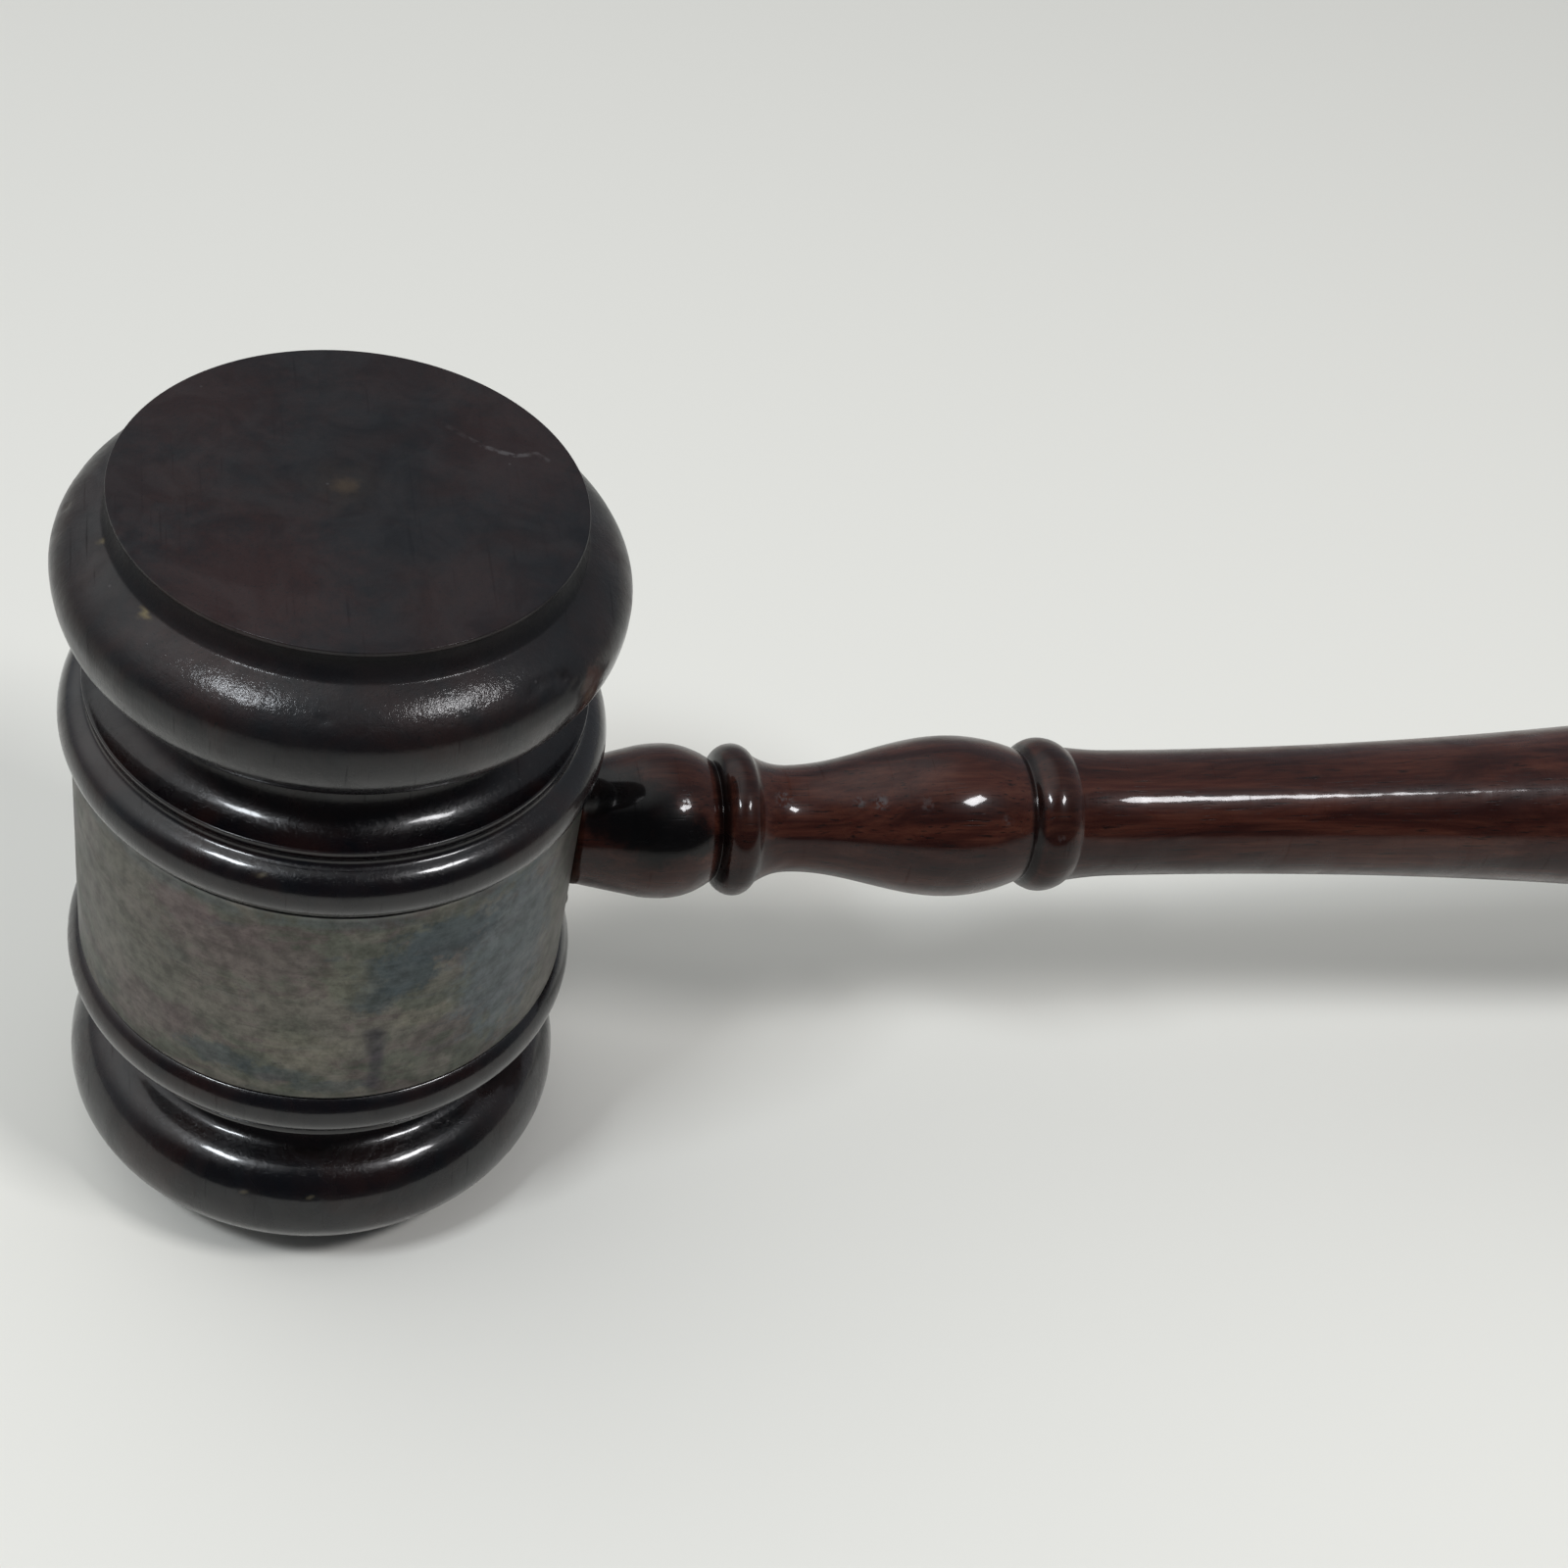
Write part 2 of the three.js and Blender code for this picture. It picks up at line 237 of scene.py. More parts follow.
def make_lathe_tree():
    sizes = [
        ("Sides", "NodeSocketInt", 64),
        ("Full Turn", "NodeSocketBool", True),
        ("Start Angle", NUMBER, 0.0),
        ("Sweep Angle", NUMBER, FULL_TURN),
    ]
    tree, given, result = start_geometry_tree("lathe", "Outline", sizes)
    outline = add_node(tree, "GeometryNodeMeshToCurve", {"Mesh": given["Outline"]})
    points = add_node(tree, "ShaderNodeMath", {0: given["Sides"], 1: 1.0}, operation="ADD")
    arc_feeds = {
        "Resolution": points.outputs[0],
        "Radius": PATH_RADIUS,
        "Start Angle": given["Start Angle"],
        "Sweep Angle": given["Sweep Angle"],
    }
    arc = add_node(tree, "GeometryNodeCurveArc", arc_feeds, mode="RADIUS")
    circle_feeds = {"Resolution": given["Sides"], "Radius": PATH_RADIUS}
    circle = add_node(tree, "GeometryNodeCurvePrimitiveCircle", circle_feeds, mode="RADIUS")
    choice = {"Switch": given["Full Turn"], "False": arc.outputs[0], "True": circle.outputs[0]}
    path = add_node(tree, "GeometryNodeSwitch", choice, input_type="GEOMETRY")
    sweep = {"Curve": path.outputs[0], "Profile Curve": outline.outputs[0], "Fill Caps": True}
    swept = add_node(tree, "GeometryNodeCurveToMesh", sweep)
    whole = {"Geometry": swept.outputs[0], "Distance": SAME_PLACE}
    merged = add_node(tree, "GeometryNodeMergeByDistance", whole)
    end_geometry_tree(tree, merged.outputs[0], given, result)
    return tree


lathe_tree = make_lathe_tree()
print("lathe tree:", len(lathe_tree.nodes), "nodes")


# %% [markdown]
# A tree's inputs are set on the modifier by each socket's identifier. The evaluated result is
# kept as a mesh, and the modifier goes. The faces are then made to point outwards, because a
# swept shape can come out inside out.

# %% Run a tree and keep its result
def set_inputs(modifier, values):
    for item in modifier.node_group.interface.items_tree:
        if item.in_out == "INPUT" and item.name in values:
            modifier[item.identifier] = values[item.name]


def object_from(name, data):
    made = bpy.data.objects.new(name, data)
    bpy.context.scene.collection.objects.link(made)
    return made


def result_of(body):
    """What a body's modifiers make of it, as a plain mesh."""
    bpy.context.view_layer.update()
    evaluated = body.evaluated_get(bpy.context.evaluated_depsgraph_get())
    return bpy.data.meshes.new_from_object(evaluated)


def run_tree(name, source_mesh, tree, values):
    source = object_from(name + "_source", source_mesh)
    modifier = source.modifiers.new("tree", "NODES")
    modifier.node_group = tree
    set_inputs(modifier, values)
    mesh = result_of(source)
    source.modifiers.remove(modifier)
    bpy.data.objects.remove(source)
    mesh.name = name
    return mesh


def tidy_mesh(mesh):
    """Merged, facing outwards and smooth."""
    work = bmesh.new()
    work.from_mesh(mesh)
    bmesh.ops.remove_doubles(work, verts=work.verts, dist=SAME_PLACE)
    bmesh.ops.recalc_face_normals(work, faces=work.faces)
    for face in work.faces:
        face.smooth = True
    work.to_mesh(mesh)
    work.free()
    return mesh


def turn(name, outline, sides, material, gap_angle=0.0, closed=False):
    """An outline carried round the Z axis by the lathe tree, all the way or up to a gap at +X."""
    corners = [(radius - PATH_RADIUS, -along, 0) for along, radius in outline]
    edges = [(i, i + 1) for i in range(len(corners) - 1)]
    if closed:
        edges.append((len(corners) - 1, 0))
    mesh = bpy.data.meshes.new(name + "_outline")
    mesh.from_pydata(corners, edges, [])
    values = {"Sides": sides, "Full Turn": gap_angle == 0, "Material": material}
    values["Start Angle"] = gap_angle / 2
    values["Sweep Angle"] = FULL_TURN - gap_angle
    return tidy_mesh(run_tree(name, mesh, lathe_tree, values))


# %% [markdown]
# The camera stands where the photograph was taken from. The numbers come from fitting the
# head's rims and the handle's outline in the picture: a viewpoint, the point it looks at, how
# far the picture is turned about that line, and the focal length. The frame is square.

# %% Camera
CAMERA_AT = Vector((-21.2, -189.8, 250.2)) * MM
CAMERA_LOOKS_AT = Vector((55.7, 5.0, 48.9)) * MM
CAMERA_ROLL = math.radians(14.55)
SENSOR_WIDTH = 36.0
FOCAL_LENGTH = 53.77
NEAREST_SEEN = 10 * MM


def make_camera():
    data = bpy.data.cameras.new("camera")
    data.sensor_width = SENSOR_WIDTH
    data.lens = FOCAL_LENGTH
    data.clip_start = NEAREST_SEEN
    camera = object_from("camera", data)
    look = (CAMERA_LOOKS_AT - CAMERA_AT).to_track_quat("-Z", "Y").to_matrix()
    turned = look @ Matrix.Rotation(CAMERA_ROLL, 3, "Z")
    camera.matrix_world = Matrix.Translation(CAMERA_AT) @ turned.to_4x4()
    return camera


bpy.context.scene.camera = make_camera()
print(f"camera {(CAMERA_AT - CAMERA_LOOKS_AT).length / MM:.0f} mm from what it looks at")

# %% [markdown]
# The room and the finishes are shader trees. Most helpers here add one node and return the
# socket that carries its result, so that a tree can be written almost like arithmetic. Two
# more do what every finish needs: one lays a colour over another through a mask, and one adds
# up a value from a plain start and several weighted masks.

# %% Helpers for shader nodes
def maths(tree, operation, *values, clamp=False):
    feeds = dict(enumerate(values))
    return add_node(tree, "ShaderNodeMath", feeds, operation=operation, use_clamp=clamp).outputs[0]


def vectors(tree, operation, *values):
    """A vector operation. A few of them give a number instead of a vector."""
    made = add_node(tree, "ShaderNodeVectorMath", dict(enumerate(values)), operation=operation)
    single = operation in ("LENGTH", "DOT_PRODUCT", "DISTANCE")
    return made.outputs["Value" if single else "Vector"]


def stretch_range(tree, value, low, high, to_low=0.0, to_high=1.0):
    """A value carried smoothly from one range to another, and held at its ends."""
    feeds = {"Value": value, "From Min": low, "From Max": high, "To Min": to_low, "To Max": to_high}
    made = add_node(tree, "ShaderNodeMapRange", feeds, interpolation_type="SMOOTHSTEP")
    return made.outputs[0]


def mix_colours(tree, share, first, second, blend="MIX"):
    feeds = {"Factor": share, "A": first, "B": second}
    made = add_node(tree, "ShaderNodeMix", feeds, data_type="RGBA", blend_type=blend)
    return made.outputs["Result"]


def lay_over(tree, colour, mask, share, tint):
    """A tint over a colour, as strong as the mask times the share."""
    return mix_colours(tree, maths(tree, "MULTIPLY", mask, share), colour, tint)


def add_up(tree, start, *parts):
    """A plain start plus each mask times its weight, held between 0 and 1."""
    total = start
    for mask, weight in parts:
        total = maths(tree, "MULTIPLY_ADD", mask, weight, total)
    total.node.use_clamp = True
    return total


def opposite(tree, mask):
    return maths(tree, "SUBTRACT", 1.0, mask)


def cloud(tree, place, scale, detail=4.0, roughness=0.55, distortion=0.0):
    """Fractal noise. A scale of 1000 gives clouds about a millimetre wide."""
    feeds = {
        "Vector": place,
        "Scale": scale,
        "Detail": detail,
        "Roughness": roughness,
        "Distortion": distortion,
    }
    return add_node(tree, "ShaderNodeTexNoise", feeds).outputs["Fac"]


def scaled(tree, place, factors):
    return vectors(tree, "MULTIPLY", place, factors)


def split(tree, place):
    return add_node(tree, "ShaderNodeSeparateXYZ", {0: place}).outputs


def combine(tree, *coordinates):
    return add_node(tree, "ShaderNodeCombineXYZ", dict(enumerate(coordinates))).outputs[0]


# %% [markdown]
# The studio is plain: a pale matt floor, two soft boxes above the viewer's shoulders, and a
# grey room. Where the boxes stand was worked out from the photograph, by mirroring the line of
# sight at each bright spot. The room is the world's colour: darker in front than behind, with
# one soft bright side high up at the back left, as from a window. The polished wood reflects
# it, and it throws the soft shadow that falls towards the viewer.

# %% Studio
FLOOR_COLOUR = (0.72, 0.708, 0.66, 1)
FLOOR_ROUGHNESS = 0.9
FLOOR_SPECULAR = 0.1
FLOOR_RADIUS = 12.0
FLOOR_SIDES = 64
LIGHT_CENTRE = Vector((20, 0, 50)) * MM
SOFT_BOXES = [
    # name, azimuth and elevation in degrees, distance and size in metres, watts, colour
    ("left_box", -149, 57, 0.85, 0.16, 0.105, 2.8, (0.90, 0.95, 1.0)),
    ("right_box", -39, 56, 0.85, 0.19, 0.105, 2.9, (0.98, 0.98, 1.0)),
]
ROOM_FRONT = (0.055, 0.058, 0.065, 1)
ROOM_BACK = (0.34, 0.36, 0.39, 1)
WINDOW_SIDE = (1.36, 1.38, 1.38, 1)
ROOM_TURNS_PALE = (-0.5, 0.05)
WINDOW_TURNS_PALE = (0.6, 1.0)
TOWARDS_WINDOW = Vector((-0.45, 0.35, 0.82)).normalized()


def make_floor():
    work = bmesh.new()
    bmesh.ops.create_circle(work, cap_ends=True, segments=FLOOR_SIDES, radius=FLOOR_RADIUS)
    mesh = bpy.data.meshes.new("floor")
    work.to_mesh(mesh)
    work.free()
    material = bpy.data.materials.new("floor_cloth")
    material.use_nodes = True
    shader = material.node_tree.nodes["Principled BSDF"].inputs
    shader["Base Color"].default_value = FLOOR_COLOUR
    shader["Roughness"].default_value = FLOOR_ROUGHNESS
    shader["Specular IOR Level"].default_value = FLOOR_SPECULAR
    mesh.materials.append(material)
    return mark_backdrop(object_from("floor", mesh))


def make_soft_box(name, azimuth, elevation, distance, width, height, power, colour):
    data = bpy.data.lights.new(name, "AREA")
    data.shape = "RECTANGLE"
    data.size, data.size_y = width, height
    data.energy = power
    data.color = colour
    lamp = object_from(name, data)
    around, up = math.radians(azimuth), math.radians(elevation)
    level = math.cos(up)
    towards = Vector((level * math.cos(around), level * math.sin(around), math.sin(up)))
    lamp.location = LIGHT_CENTRE + towards * distance
    lamp.rotation_euler = towards.to_track_quat("Z", "Y").to_euler()


def make_room():
    world = bpy.data.worlds.new("room")
    bpy.context.scene.world = world
    world.use_nodes = True
    tree = world.node_tree
    direction = add_node(tree, "ShaderNodeTexCoord").outputs["Generated"]
    backwards = split(tree, direction)["Y"]
    to_window = vectors(tree, "DOT_PRODUCT", direction, TOWARDS_WINDOW)
    back_share = stretch_range(tree, backwards, *ROOM_TURNS_PALE)
    window_share = stretch_range(tree, to_window, *WINDOW_TURNS_PALE)
    colour = mix_colours(tree, back_share, ROOM_FRONT, ROOM_BACK)
    colour = mix_colours(tree, window_share, colour, WINDOW_SIDE)
    tree.links.new(colour, tree.nodes["Background"].inputs["Color"])


make_floor()
for box in SOFT_BOXES:
    make_soft_box(*box)
make_room()
bpy.context.scene.view_settings.view_transform = "Standard"
print("studio:", len(SOFT_BOXES), "soft boxes and a grey room")

# %% [markdown]
# What several finishes share is a shader group: it reads a place on the surface, and some
# named inputs, and puts out masks from 0 to 1. The shaders stay in each material. The first
# group is the grain.
#
# Rosewood and ebony are fine woods with long thin pores. Stretched noise gives three scales
# of the same thing: broad figure, streaks about a millimetre wide, and the pores, which show
# as short dark dashes along the grain. The grain runs along Z inside the group, and a Mapping
# node turns it along the handle where it is used.

# %% The grain group
def start_group(name, inputs, masks):
    tree = bpy.data.node_groups.new(name, "ShaderNodeTree")
    outputs = [(mask, NUMBER, None) for mask in masks]
    given, result = add_sockets(tree, [("Vector", VECTOR, None), *inputs], outputs)
    return tree, given, result


def use_group(tree, group, **feeds):
    return add_node(tree, "ShaderNodeGroup", feeds, node_tree=group).outputs


def make_grain_group():
    sizes = [("Fineness", NUMBER, 1.0)]
    tree, given, result = start_group("wood_grain", sizes, ["Figure", "Streaks", "Pores"])
    place = vectors(tree, "SCALE", given["Vector"])
    tree.links.new(given["Fineness"], place.node.inputs["Scale"])
    broad = scaled(tree, place, (1, 1, 0.12))
    figure = cloud(tree, broad, 260.0, detail=5, roughness=0.6, distortion=1.2)
    fine = scaled(tree, place, (1, 1, 0.035))
    streaks = cloud(tree, fine, 1500.0, detail=5, roughness=0.7, distortion=0.3)
    hair = scaled(tree, place, (1, 1, 0.06))
    pores = cloud(tree, hair, 3600.0, detail=2, roughness=0.5)
    tree.links.new(stretch_range(tree, figure, 0.32, 0.68), result["Figure"])
    tree.links.new(stretch_range(tree, streaks, 0.3, 0.7), result["Streaks"])
    tree.links.new(stretch_range(tree, pores, 0.60, 0.70), result["Pores"])
    return tree


grain_group = make_grain_group()
print("wood grain group:", len(grain_group.nodes), "nodes")


# %% [markdown]
# A gouge held against turning wood leaves rings round the axis. They depend only on the
# distance from the axis and the height along it, so the noise reads those two numbers. A
# slow noise shifts the distance a little, because no ring is perfectly true.

# %% The turning rings group
def make_rings_group():
    tree, given, result = start_group("turning_rings", [], ["Rings"])
    x, y, z = split(tree, given["Vector"])
    distance = vectors(tree, "LENGTH", combine(tree, x, y))
    wander = cloud(tree, given["Vector"], 60.0, detail=2)
    shifted = maths(tree, "MULTIPLY_ADD", wander, 0.6 * MM, distance)
    rings = cloud(tree, combine(tree, shifted, z), 2200.0, detail=3, roughness=0.7)
    tree.links.new(rings, result["Rings"])
    return tree


rings_group = make_rings_group()
print("turning rings group:", len(rings_group.nodes), "nodes")


# %% [markdown]
# Handling leaves three traces: smudges that change the gloss in patches, hairline scratches
# in two directions, and dust in specks. Scratches are noise stretched so far that it turns
# into lines, of which only the crests are kept.

# %% The handling group
def make_handling_group():
    tree, given, result = start_group("handling", [], ["Smudges", "Hairlines", "Dust"])
    place = given["Vector"]
    smudges = cloud(tree, place, 140.0, detail=6, roughness=0.65, distortion=0.8)
    tree.links.new(stretch_range(tree, smudges, 0.35, 0.7), result["Smudges"])
    hairs = []
    for turn_angles in ((0.4, 0.2, 0.9), (1.1, -0.5, 2.2)):
        drawn_out = {"Vector": place, "Rotation": turn_angles, "Scale": (1, 0.03, 0.05)}
        turned = add_node(tree, "ShaderNodeMapping", drawn_out)
        hair = cloud(tree, turned.outputs[0], 2600.0, detail=1)
        hairs.append(stretch_range(tree, hair, 0.70, 0.76))
    tree.links.new(maths(tree, "MAXIMUM", *hairs), result["Hairlines"])
    cells = add_node(tree, "ShaderNodeTexVoronoi", {"Vector": place, "Scale": 420.0})
    chance = add_node(tree, "ShaderNodeSeparateColor", {0: cells.outputs["Color"]})
    near = stretch_range(tree, cells.outputs["Distance"], 0.05, 0.09, 1.0, 0.0)
    rare = maths(tree, "GREATER_THAN", chance.outputs[0], 0.86)
    tree.links.new(maths(tree, "MULTIPLY", near, rare), result["Dust"])
    return tree


handling_group = make_handling_group()
print("handling group:", len(handling_group.nodes), "nodes")


# %% [markdown]
# A spot is a ragged ball around a point, so it marks the same place on the surface from
# whichever side it is seen. Noise on the distance breaks its edge. A scratch is the same idea
# with a line: the distance from the point to the nearest place on the line between two ends.

# %% The spot and scratch groups
def make_spot_group():
    shape = [("Centre", VECTOR, None), ("Proportions", VECTOR, (1, 1, 1)), ("Size", NUMBER, MM)]
    border = [("Ragged", NUMBER, 0.4), ("Softness", NUMBER, 0.3)]
    tree, given, result = start_group("spot", shape + border, ["Mask"])
    offset = vectors(tree, "SUBTRACT", given["Vector"], given["Centre"])
    shaped = vectors(tree, "DIVIDE", offset, given["Proportions"])
    distance = maths(tree, "DIVIDE", vectors(tree, "LENGTH", shaped), given["Size"])
    rough = cloud(tree, given["Vector"], 650.0, detail=4, roughness=0.65)
    push = maths(tree, "MULTIPLY", maths(tree, "SUBTRACT", rough, 0.5), given["Ragged"])
    ragged = maths(tree, "MULTIPLY_ADD", push, 4.0, distance)
    inner = opposite(tree, given["Softness"])
    outer = maths(tree, "ADD", 1.0, given["Softness"])
    tree.links.new(stretch_range(tree, ragged, inner, outer, 1.0, 0.0), result["Mask"])
    return tree


def make_scratch_group():
    shape = [("Start", VECTOR, None), ("End", VECTOR, None), ("Width", NUMBER, 0.2 * MM)]
    tree, given, result = start_group("scratch", shape, ["Mask"])
    offset = vectors(tree, "SUBTRACT", given["Vector"], given["Start"])
    line = vectors(tree, "SUBTRACT", given["End"], given["Start"])
    along = vectors(tree, "DOT_PRODUCT", offset, line)
    whole = vectors(tree, "DOT_PRODUCT", line, line)
    share = maths(tree, "DIVIDE", along, whole, clamp=True)
    nearest = vectors(tree, "SCALE", line)
    tree.links.new(share, nearest.node.inputs["Scale"])
    distance = vectors(tree, "DISTANCE", offset, nearest)
    wide = maths(tree, "DIVIDE", distance, given["Width"])
    breaks = cloud(tree, given["Vector"], 900.0, detail=3)
    broken = stretch_range(tree, breaks, 0.38, 0.56)
    line_mask = stretch_range(tree, wide, 0.4, 1.2, 1.0, 0.0)
    tree.links.new(maths(tree, "MULTIPLY", line_mask, broken), result["Mask"])
    return tree


spot_group = make_spot_group()
scratch_group = make_scratch_group()
print("shader groups:", ", ".join(g.name for g in bpy.data.node_groups if g.type == "SHADER"))


# %% [markdown]
# A new material starts from one Principled shader. Constants go straight onto the shader's
# own sockets. Only what changes over the surface is linked. The shapes made further down carry
# an attribute called worn, which says how bare or rubbed they are, and on the band also where
# a painted glint lies. Each finish reads it.

# %% Start a material
def new_finish(name, **settings):
    material = bpy.data.materials.new(name)
    material.use_nodes = True
    tree = material.node_tree
    shader = tree.nodes["Principled BSDF"]
    for socket, value in settings.items():
        shader.inputs[socket.replace("_", " ")].default_value = value
    place = add_node(tree, "ShaderNodeTexCoord").outputs["Object"]
    return material, tree, shader.inputs, place


def connect(tree, shader, **results):
    for socket, result in results.items():
        tree.links.new(result, shader[socket.replace("_", " ")])


def read_worn(tree):
    return add_node(tree, "ShaderNodeAttribute", attribute_name="worn").outputs["Fac"]


def raise_bumps(tree, shader, bumps, socket="Normal"):
    """Several heights, each with its depth, chained into one normal."""
    normal = None
    for height, depth in bumps:
        feeds = {"Height": height, "Distance": depth}
        if normal is not None:
            feeds["Normal"] = normal
        normal = add_node(tree, "ShaderNodeBump", feeds).outputs["Normal"]
    tree.links.new(normal, shader[socket])


def read_wood(tree, place, turned):
    """The masks that both woods use. Grain and rings run along Z of the turned place."""
    grain = use_group(tree, grain_group, Vector=turned, Fineness=1.0)
    rings = use_group(tree, rings_group, Vector=turned)["Rings"]
    handling = use_group(tree, handling_group, Vector=place)
    return grain, rings, handling, read_worn(tree)


def at_azimuth(azimuth, height, radius):
    """A point on the head, from its azimuth in degrees and its height above the middle."""
    angle = math.radians(azimuth)
    return Vector((radius * math.cos(angle), radius * math.sin(angle), MIDDLE + height))


# %% [markdown]
# The head is stained and polished almost black. Where light doesn't glance off it, the wood
# shows through as a very dark red-brown, in clouds. The striking faces are duller than the
# beads, since they do the work and were never polished as well, and the coves under them are
# duller still. The coves' colour is also darkened towards black, as painted shade under the
# rims. The upper end has lost more of its polish than the lower one, and the top of its bead is
# finely rubbed. Marks that the photograph shows are placed one by one: red clouds and the pale
# spot left by the lathe's centre, a curved scratch on the face, and a worn red patch beside the
# handle.

# %% The head's finish
HEAD_BLACK = (0.0016, 0.0020, 0.0032, 1)
HEAD_BROWN = (0.0115, 0.0040, 0.0034, 1)
HEAD_RED = (0.0185, 0.0056, 0.0046, 1)
PORE_BLACK = (0.0015, 0.0013, 0.0015, 1)
WORN_RED = (0.055, 0.020, 0.014, 1)
CENTRE_TAN = (0.056, 0.037, 0.020, 1)
FACE_PALE_TINT = (0.052, 0.054, 0.064, 1)
BARE_WOOD = (0.23, 0.19, 0.11, 1)
SCUFF_GREY = (0.075, 0.070, 0.072, 1)
# A region of the head fades in, or ends, between two heights from the middle.
FACE_STARTS = (FACE - 0.08 * MM, FACE - 0.02 * MM)
COVE_STARTS = (45.0 * MM, 45.4 * MM)
COVE_ENDS = (48.25 * MM, 48.4 * MM)
BEAD_TOP_STARTS = (38.0 * MM, 43.0 * MM)
UPPER_END_STARTS = (21.0 * MM, 26.0 * MM)
RED_PATCH_AT = at_azimuth(-39.0, 39.0 * MM, 29.8 * MM)
RED_PATCH_SIZE = 2.2 * MM
SCRATCH_WIDTH = 0.38 * MM
CENTRE_AT = (-0.8, 0.9)
CENTRE_RINGS = [
    # size in mm, how much of the bare wood shows
    (3.2, 0.10),
    (1.1, 0.45),
]
FACE_PATCHES = [
    # x, y, size in mm, how much of the red shows
    (-15.1, 15.6, 8.5, 0.55),
    (-11.3, -14.5, 8.5, 0.75),
    (17.5, 7.3, 7.5, 0.50),
    (-21.0, 0.2, 5.0, 0.35),
    (11.7, -16.3, 5.0, 0.30),
    (6.0, 20.5, 5.0, 0.30),
]
FACE_SCRATCH = [
    # x, y in mm and how strong the stretch up to the next point is
    (10.25, 11.7, 0.12),
    (12.6, 9.3, 0.25),
    (14.1, 8.0, 0.45),
    (15.7, 7.1, 0.60),
    (17.2, 6.5, 0.50),
    (18.5, 6.6, 0.35),
    (19.7, 6.9, 0.25),
    (20.7, 5.8, 0.0),
]


def on_face(x, y):
    return Vector((x * MM, y * MM, head_high.z))


def spot(tree, place, centre, size, **options):
    feeds = {"Vector": place, "Centre": centre, "Size": size, **options}
    return use_group(tree, spot_group, **feeds)["Mask"]


def head_colour(tree, place, grain, handling, worn):
    clouds = stretch_range(tree, cloud(tree, place, 75.0, detail=4, distortion=0.6), 0.46, 0.66)
    brown_share = add_up(tree, 0.0, (grain["Figure"], 0.25), (clouds, 0.6))
    colour = mix_colours(tree, brown_share, HEAD_BLACK, HEAD_BROWN)
    for x, y, size, share in FACE_PATCHES:
        patch = spot(tree, place, on_face(x, y), size * MM, Ragged=0.5, Softness=0.8)
        colour = lay_over(tree, colour, patch, share, HEAD_RED)
    colour = lay_over(tree, colour, grain["Pores"], 0.8, PORE_BLACK)
    for size, share in CENTRE_RINGS:
        centre = spot(tree, place, on_face(*CENTRE_AT), size * MM, Ragged=0.5, Softness=0.8)
        colour = lay_over(tree, colour, centre, share, CENTRE_TAN)
    tall = {"Proportions": (0.8, 0.8, 1.3), "Ragged": 0.6}
    red_patch = spot(tree, place, RED_PATCH_AT, RED_PATCH_SIZE, **tall)
    colour = lay_over(tree, colour, red_patch, 0.5, WORN_RED)
    colour = lay_over(tree, colour, worn, 0.85, BARE_WOOD)
    return lay_over(tree, colour, handling["Dust"], 0.3, SCUFF_GREY)


def head_scratch(tree, place):
    whole = None
    for first, last in zip(FACE_SCRATCH, FACE_SCRATCH[1:]):
        start, end = on_face(*first[:2]), on_face(*last[:2])
        ends = {"Start": start, "End": end, "Width": SCRATCH_WIDTH}
        mask = use_group(tree, scratch_group, Vector=place, **ends)["Mask"]
        line = maths(tree, "MULTIPLY", mask, first[2])
        whole = line if whole is None else maths(tree, "MAXIMUM", whole, line)
    return whole


def head_regions(tree, place):
    """Masks by height from the middle: faces, coves, top of the upper bead, upper end."""
    height = maths(tree, "SUBTRACT", split(tree, place)["Z"], MIDDLE)
    reach = maths(tree, "ABSOLUTE", height)
    face = stretch_range(tree, reach, *FACE_STARTS)
    cove_start = stretch_range(tree, reach, *COVE_STARTS)
    cove_end = stretch_range(tree, reach, *COVE_ENDS, 1.0, 0.0)
    cove = maths(tree, "MULTIPLY", cove_start, cove_end)
    bead_top = stretch_range(tree, height, *BEAD_TOP_STARTS)
    upper_end = stretch_range(tree, height, *UPPER_END_STARTS)
    return face, cove, bead_top, upper_end


def make_head_finish():
    material, tree, shader, place = new_finish(
        "head_wood_finish", IOR=1.5, Specular_IOR_Level=0.20, Coat_Roughness=0.10, Coat_IOR=1.5
    )
    grain, rings, handling, worn = read_wood(tree, place, place)
    face, cove, bead_top, upper_end = head_regions(tree, place)
    smudges, hairlines = handling["Smudges"], handling["Hairlines"]
    colour = head_colour(tree, place, grain, handling, worn)
    # painted shade: the coves' colour is darkened towards black, as shade under the rims
    colour = lay_over(tree, colour, cove, 0.6, HEAD_BLACK)
    # the striking faces are tinted a little paler and bluer
    colour = lay_over(tree, colour, face, 0.06, FACE_PALE_TINT)
    colour = mix_colours(tree, head_scratch(tree, place), colour, SCUFF_GREY)
    dulled = (smudges, 0.12), (face, 0.22), (bead_top, 0.22), (worn, 0.3)
    gloss_loss = add_up(tree, 0.22, *dulled)
    thinned = (smudges, -0.15), (upper_end, -0.25), (face, -0.26), (cove, -0.50)
    coat = add_up(tree, 0.66, *thinned, (hairlines, -0.25), (worn, -0.5))
    connect(tree, shader, Base_Color=colour, Roughness=gloss_loss, Coat_Weight=coat)
    rubbed = cloud(tree, scaled(tree, place, (1, 1, 0.3)), 1300.0, detail=4, roughness=0.7)
    coat_bumps = [
        (cloud(tree, place, 210.0, detail=2), 0.06 * MM),
        (maths(tree, "MULTIPLY", rubbed, bead_top), 0.06 * MM),
    ]
    raise_bumps(tree, shader, coat_bumps, "Coat Normal")
    wood_bumps = [
        (cloud(tree, place, 330.0, detail=3, roughness=0.6), 0.06 * MM),
        (rings, 0.010 * MM),
        (grain["Streaks"], 0.012 * MM),
        (opposite(tree, grain["Pores"]), 0.008 * MM),
    ]
    raise_bumps(tree, shader, wood_bumps)
    return material


head_finish = make_head_finish()
print("head finish:", len(head_finish.node_tree.nodes), "nodes")
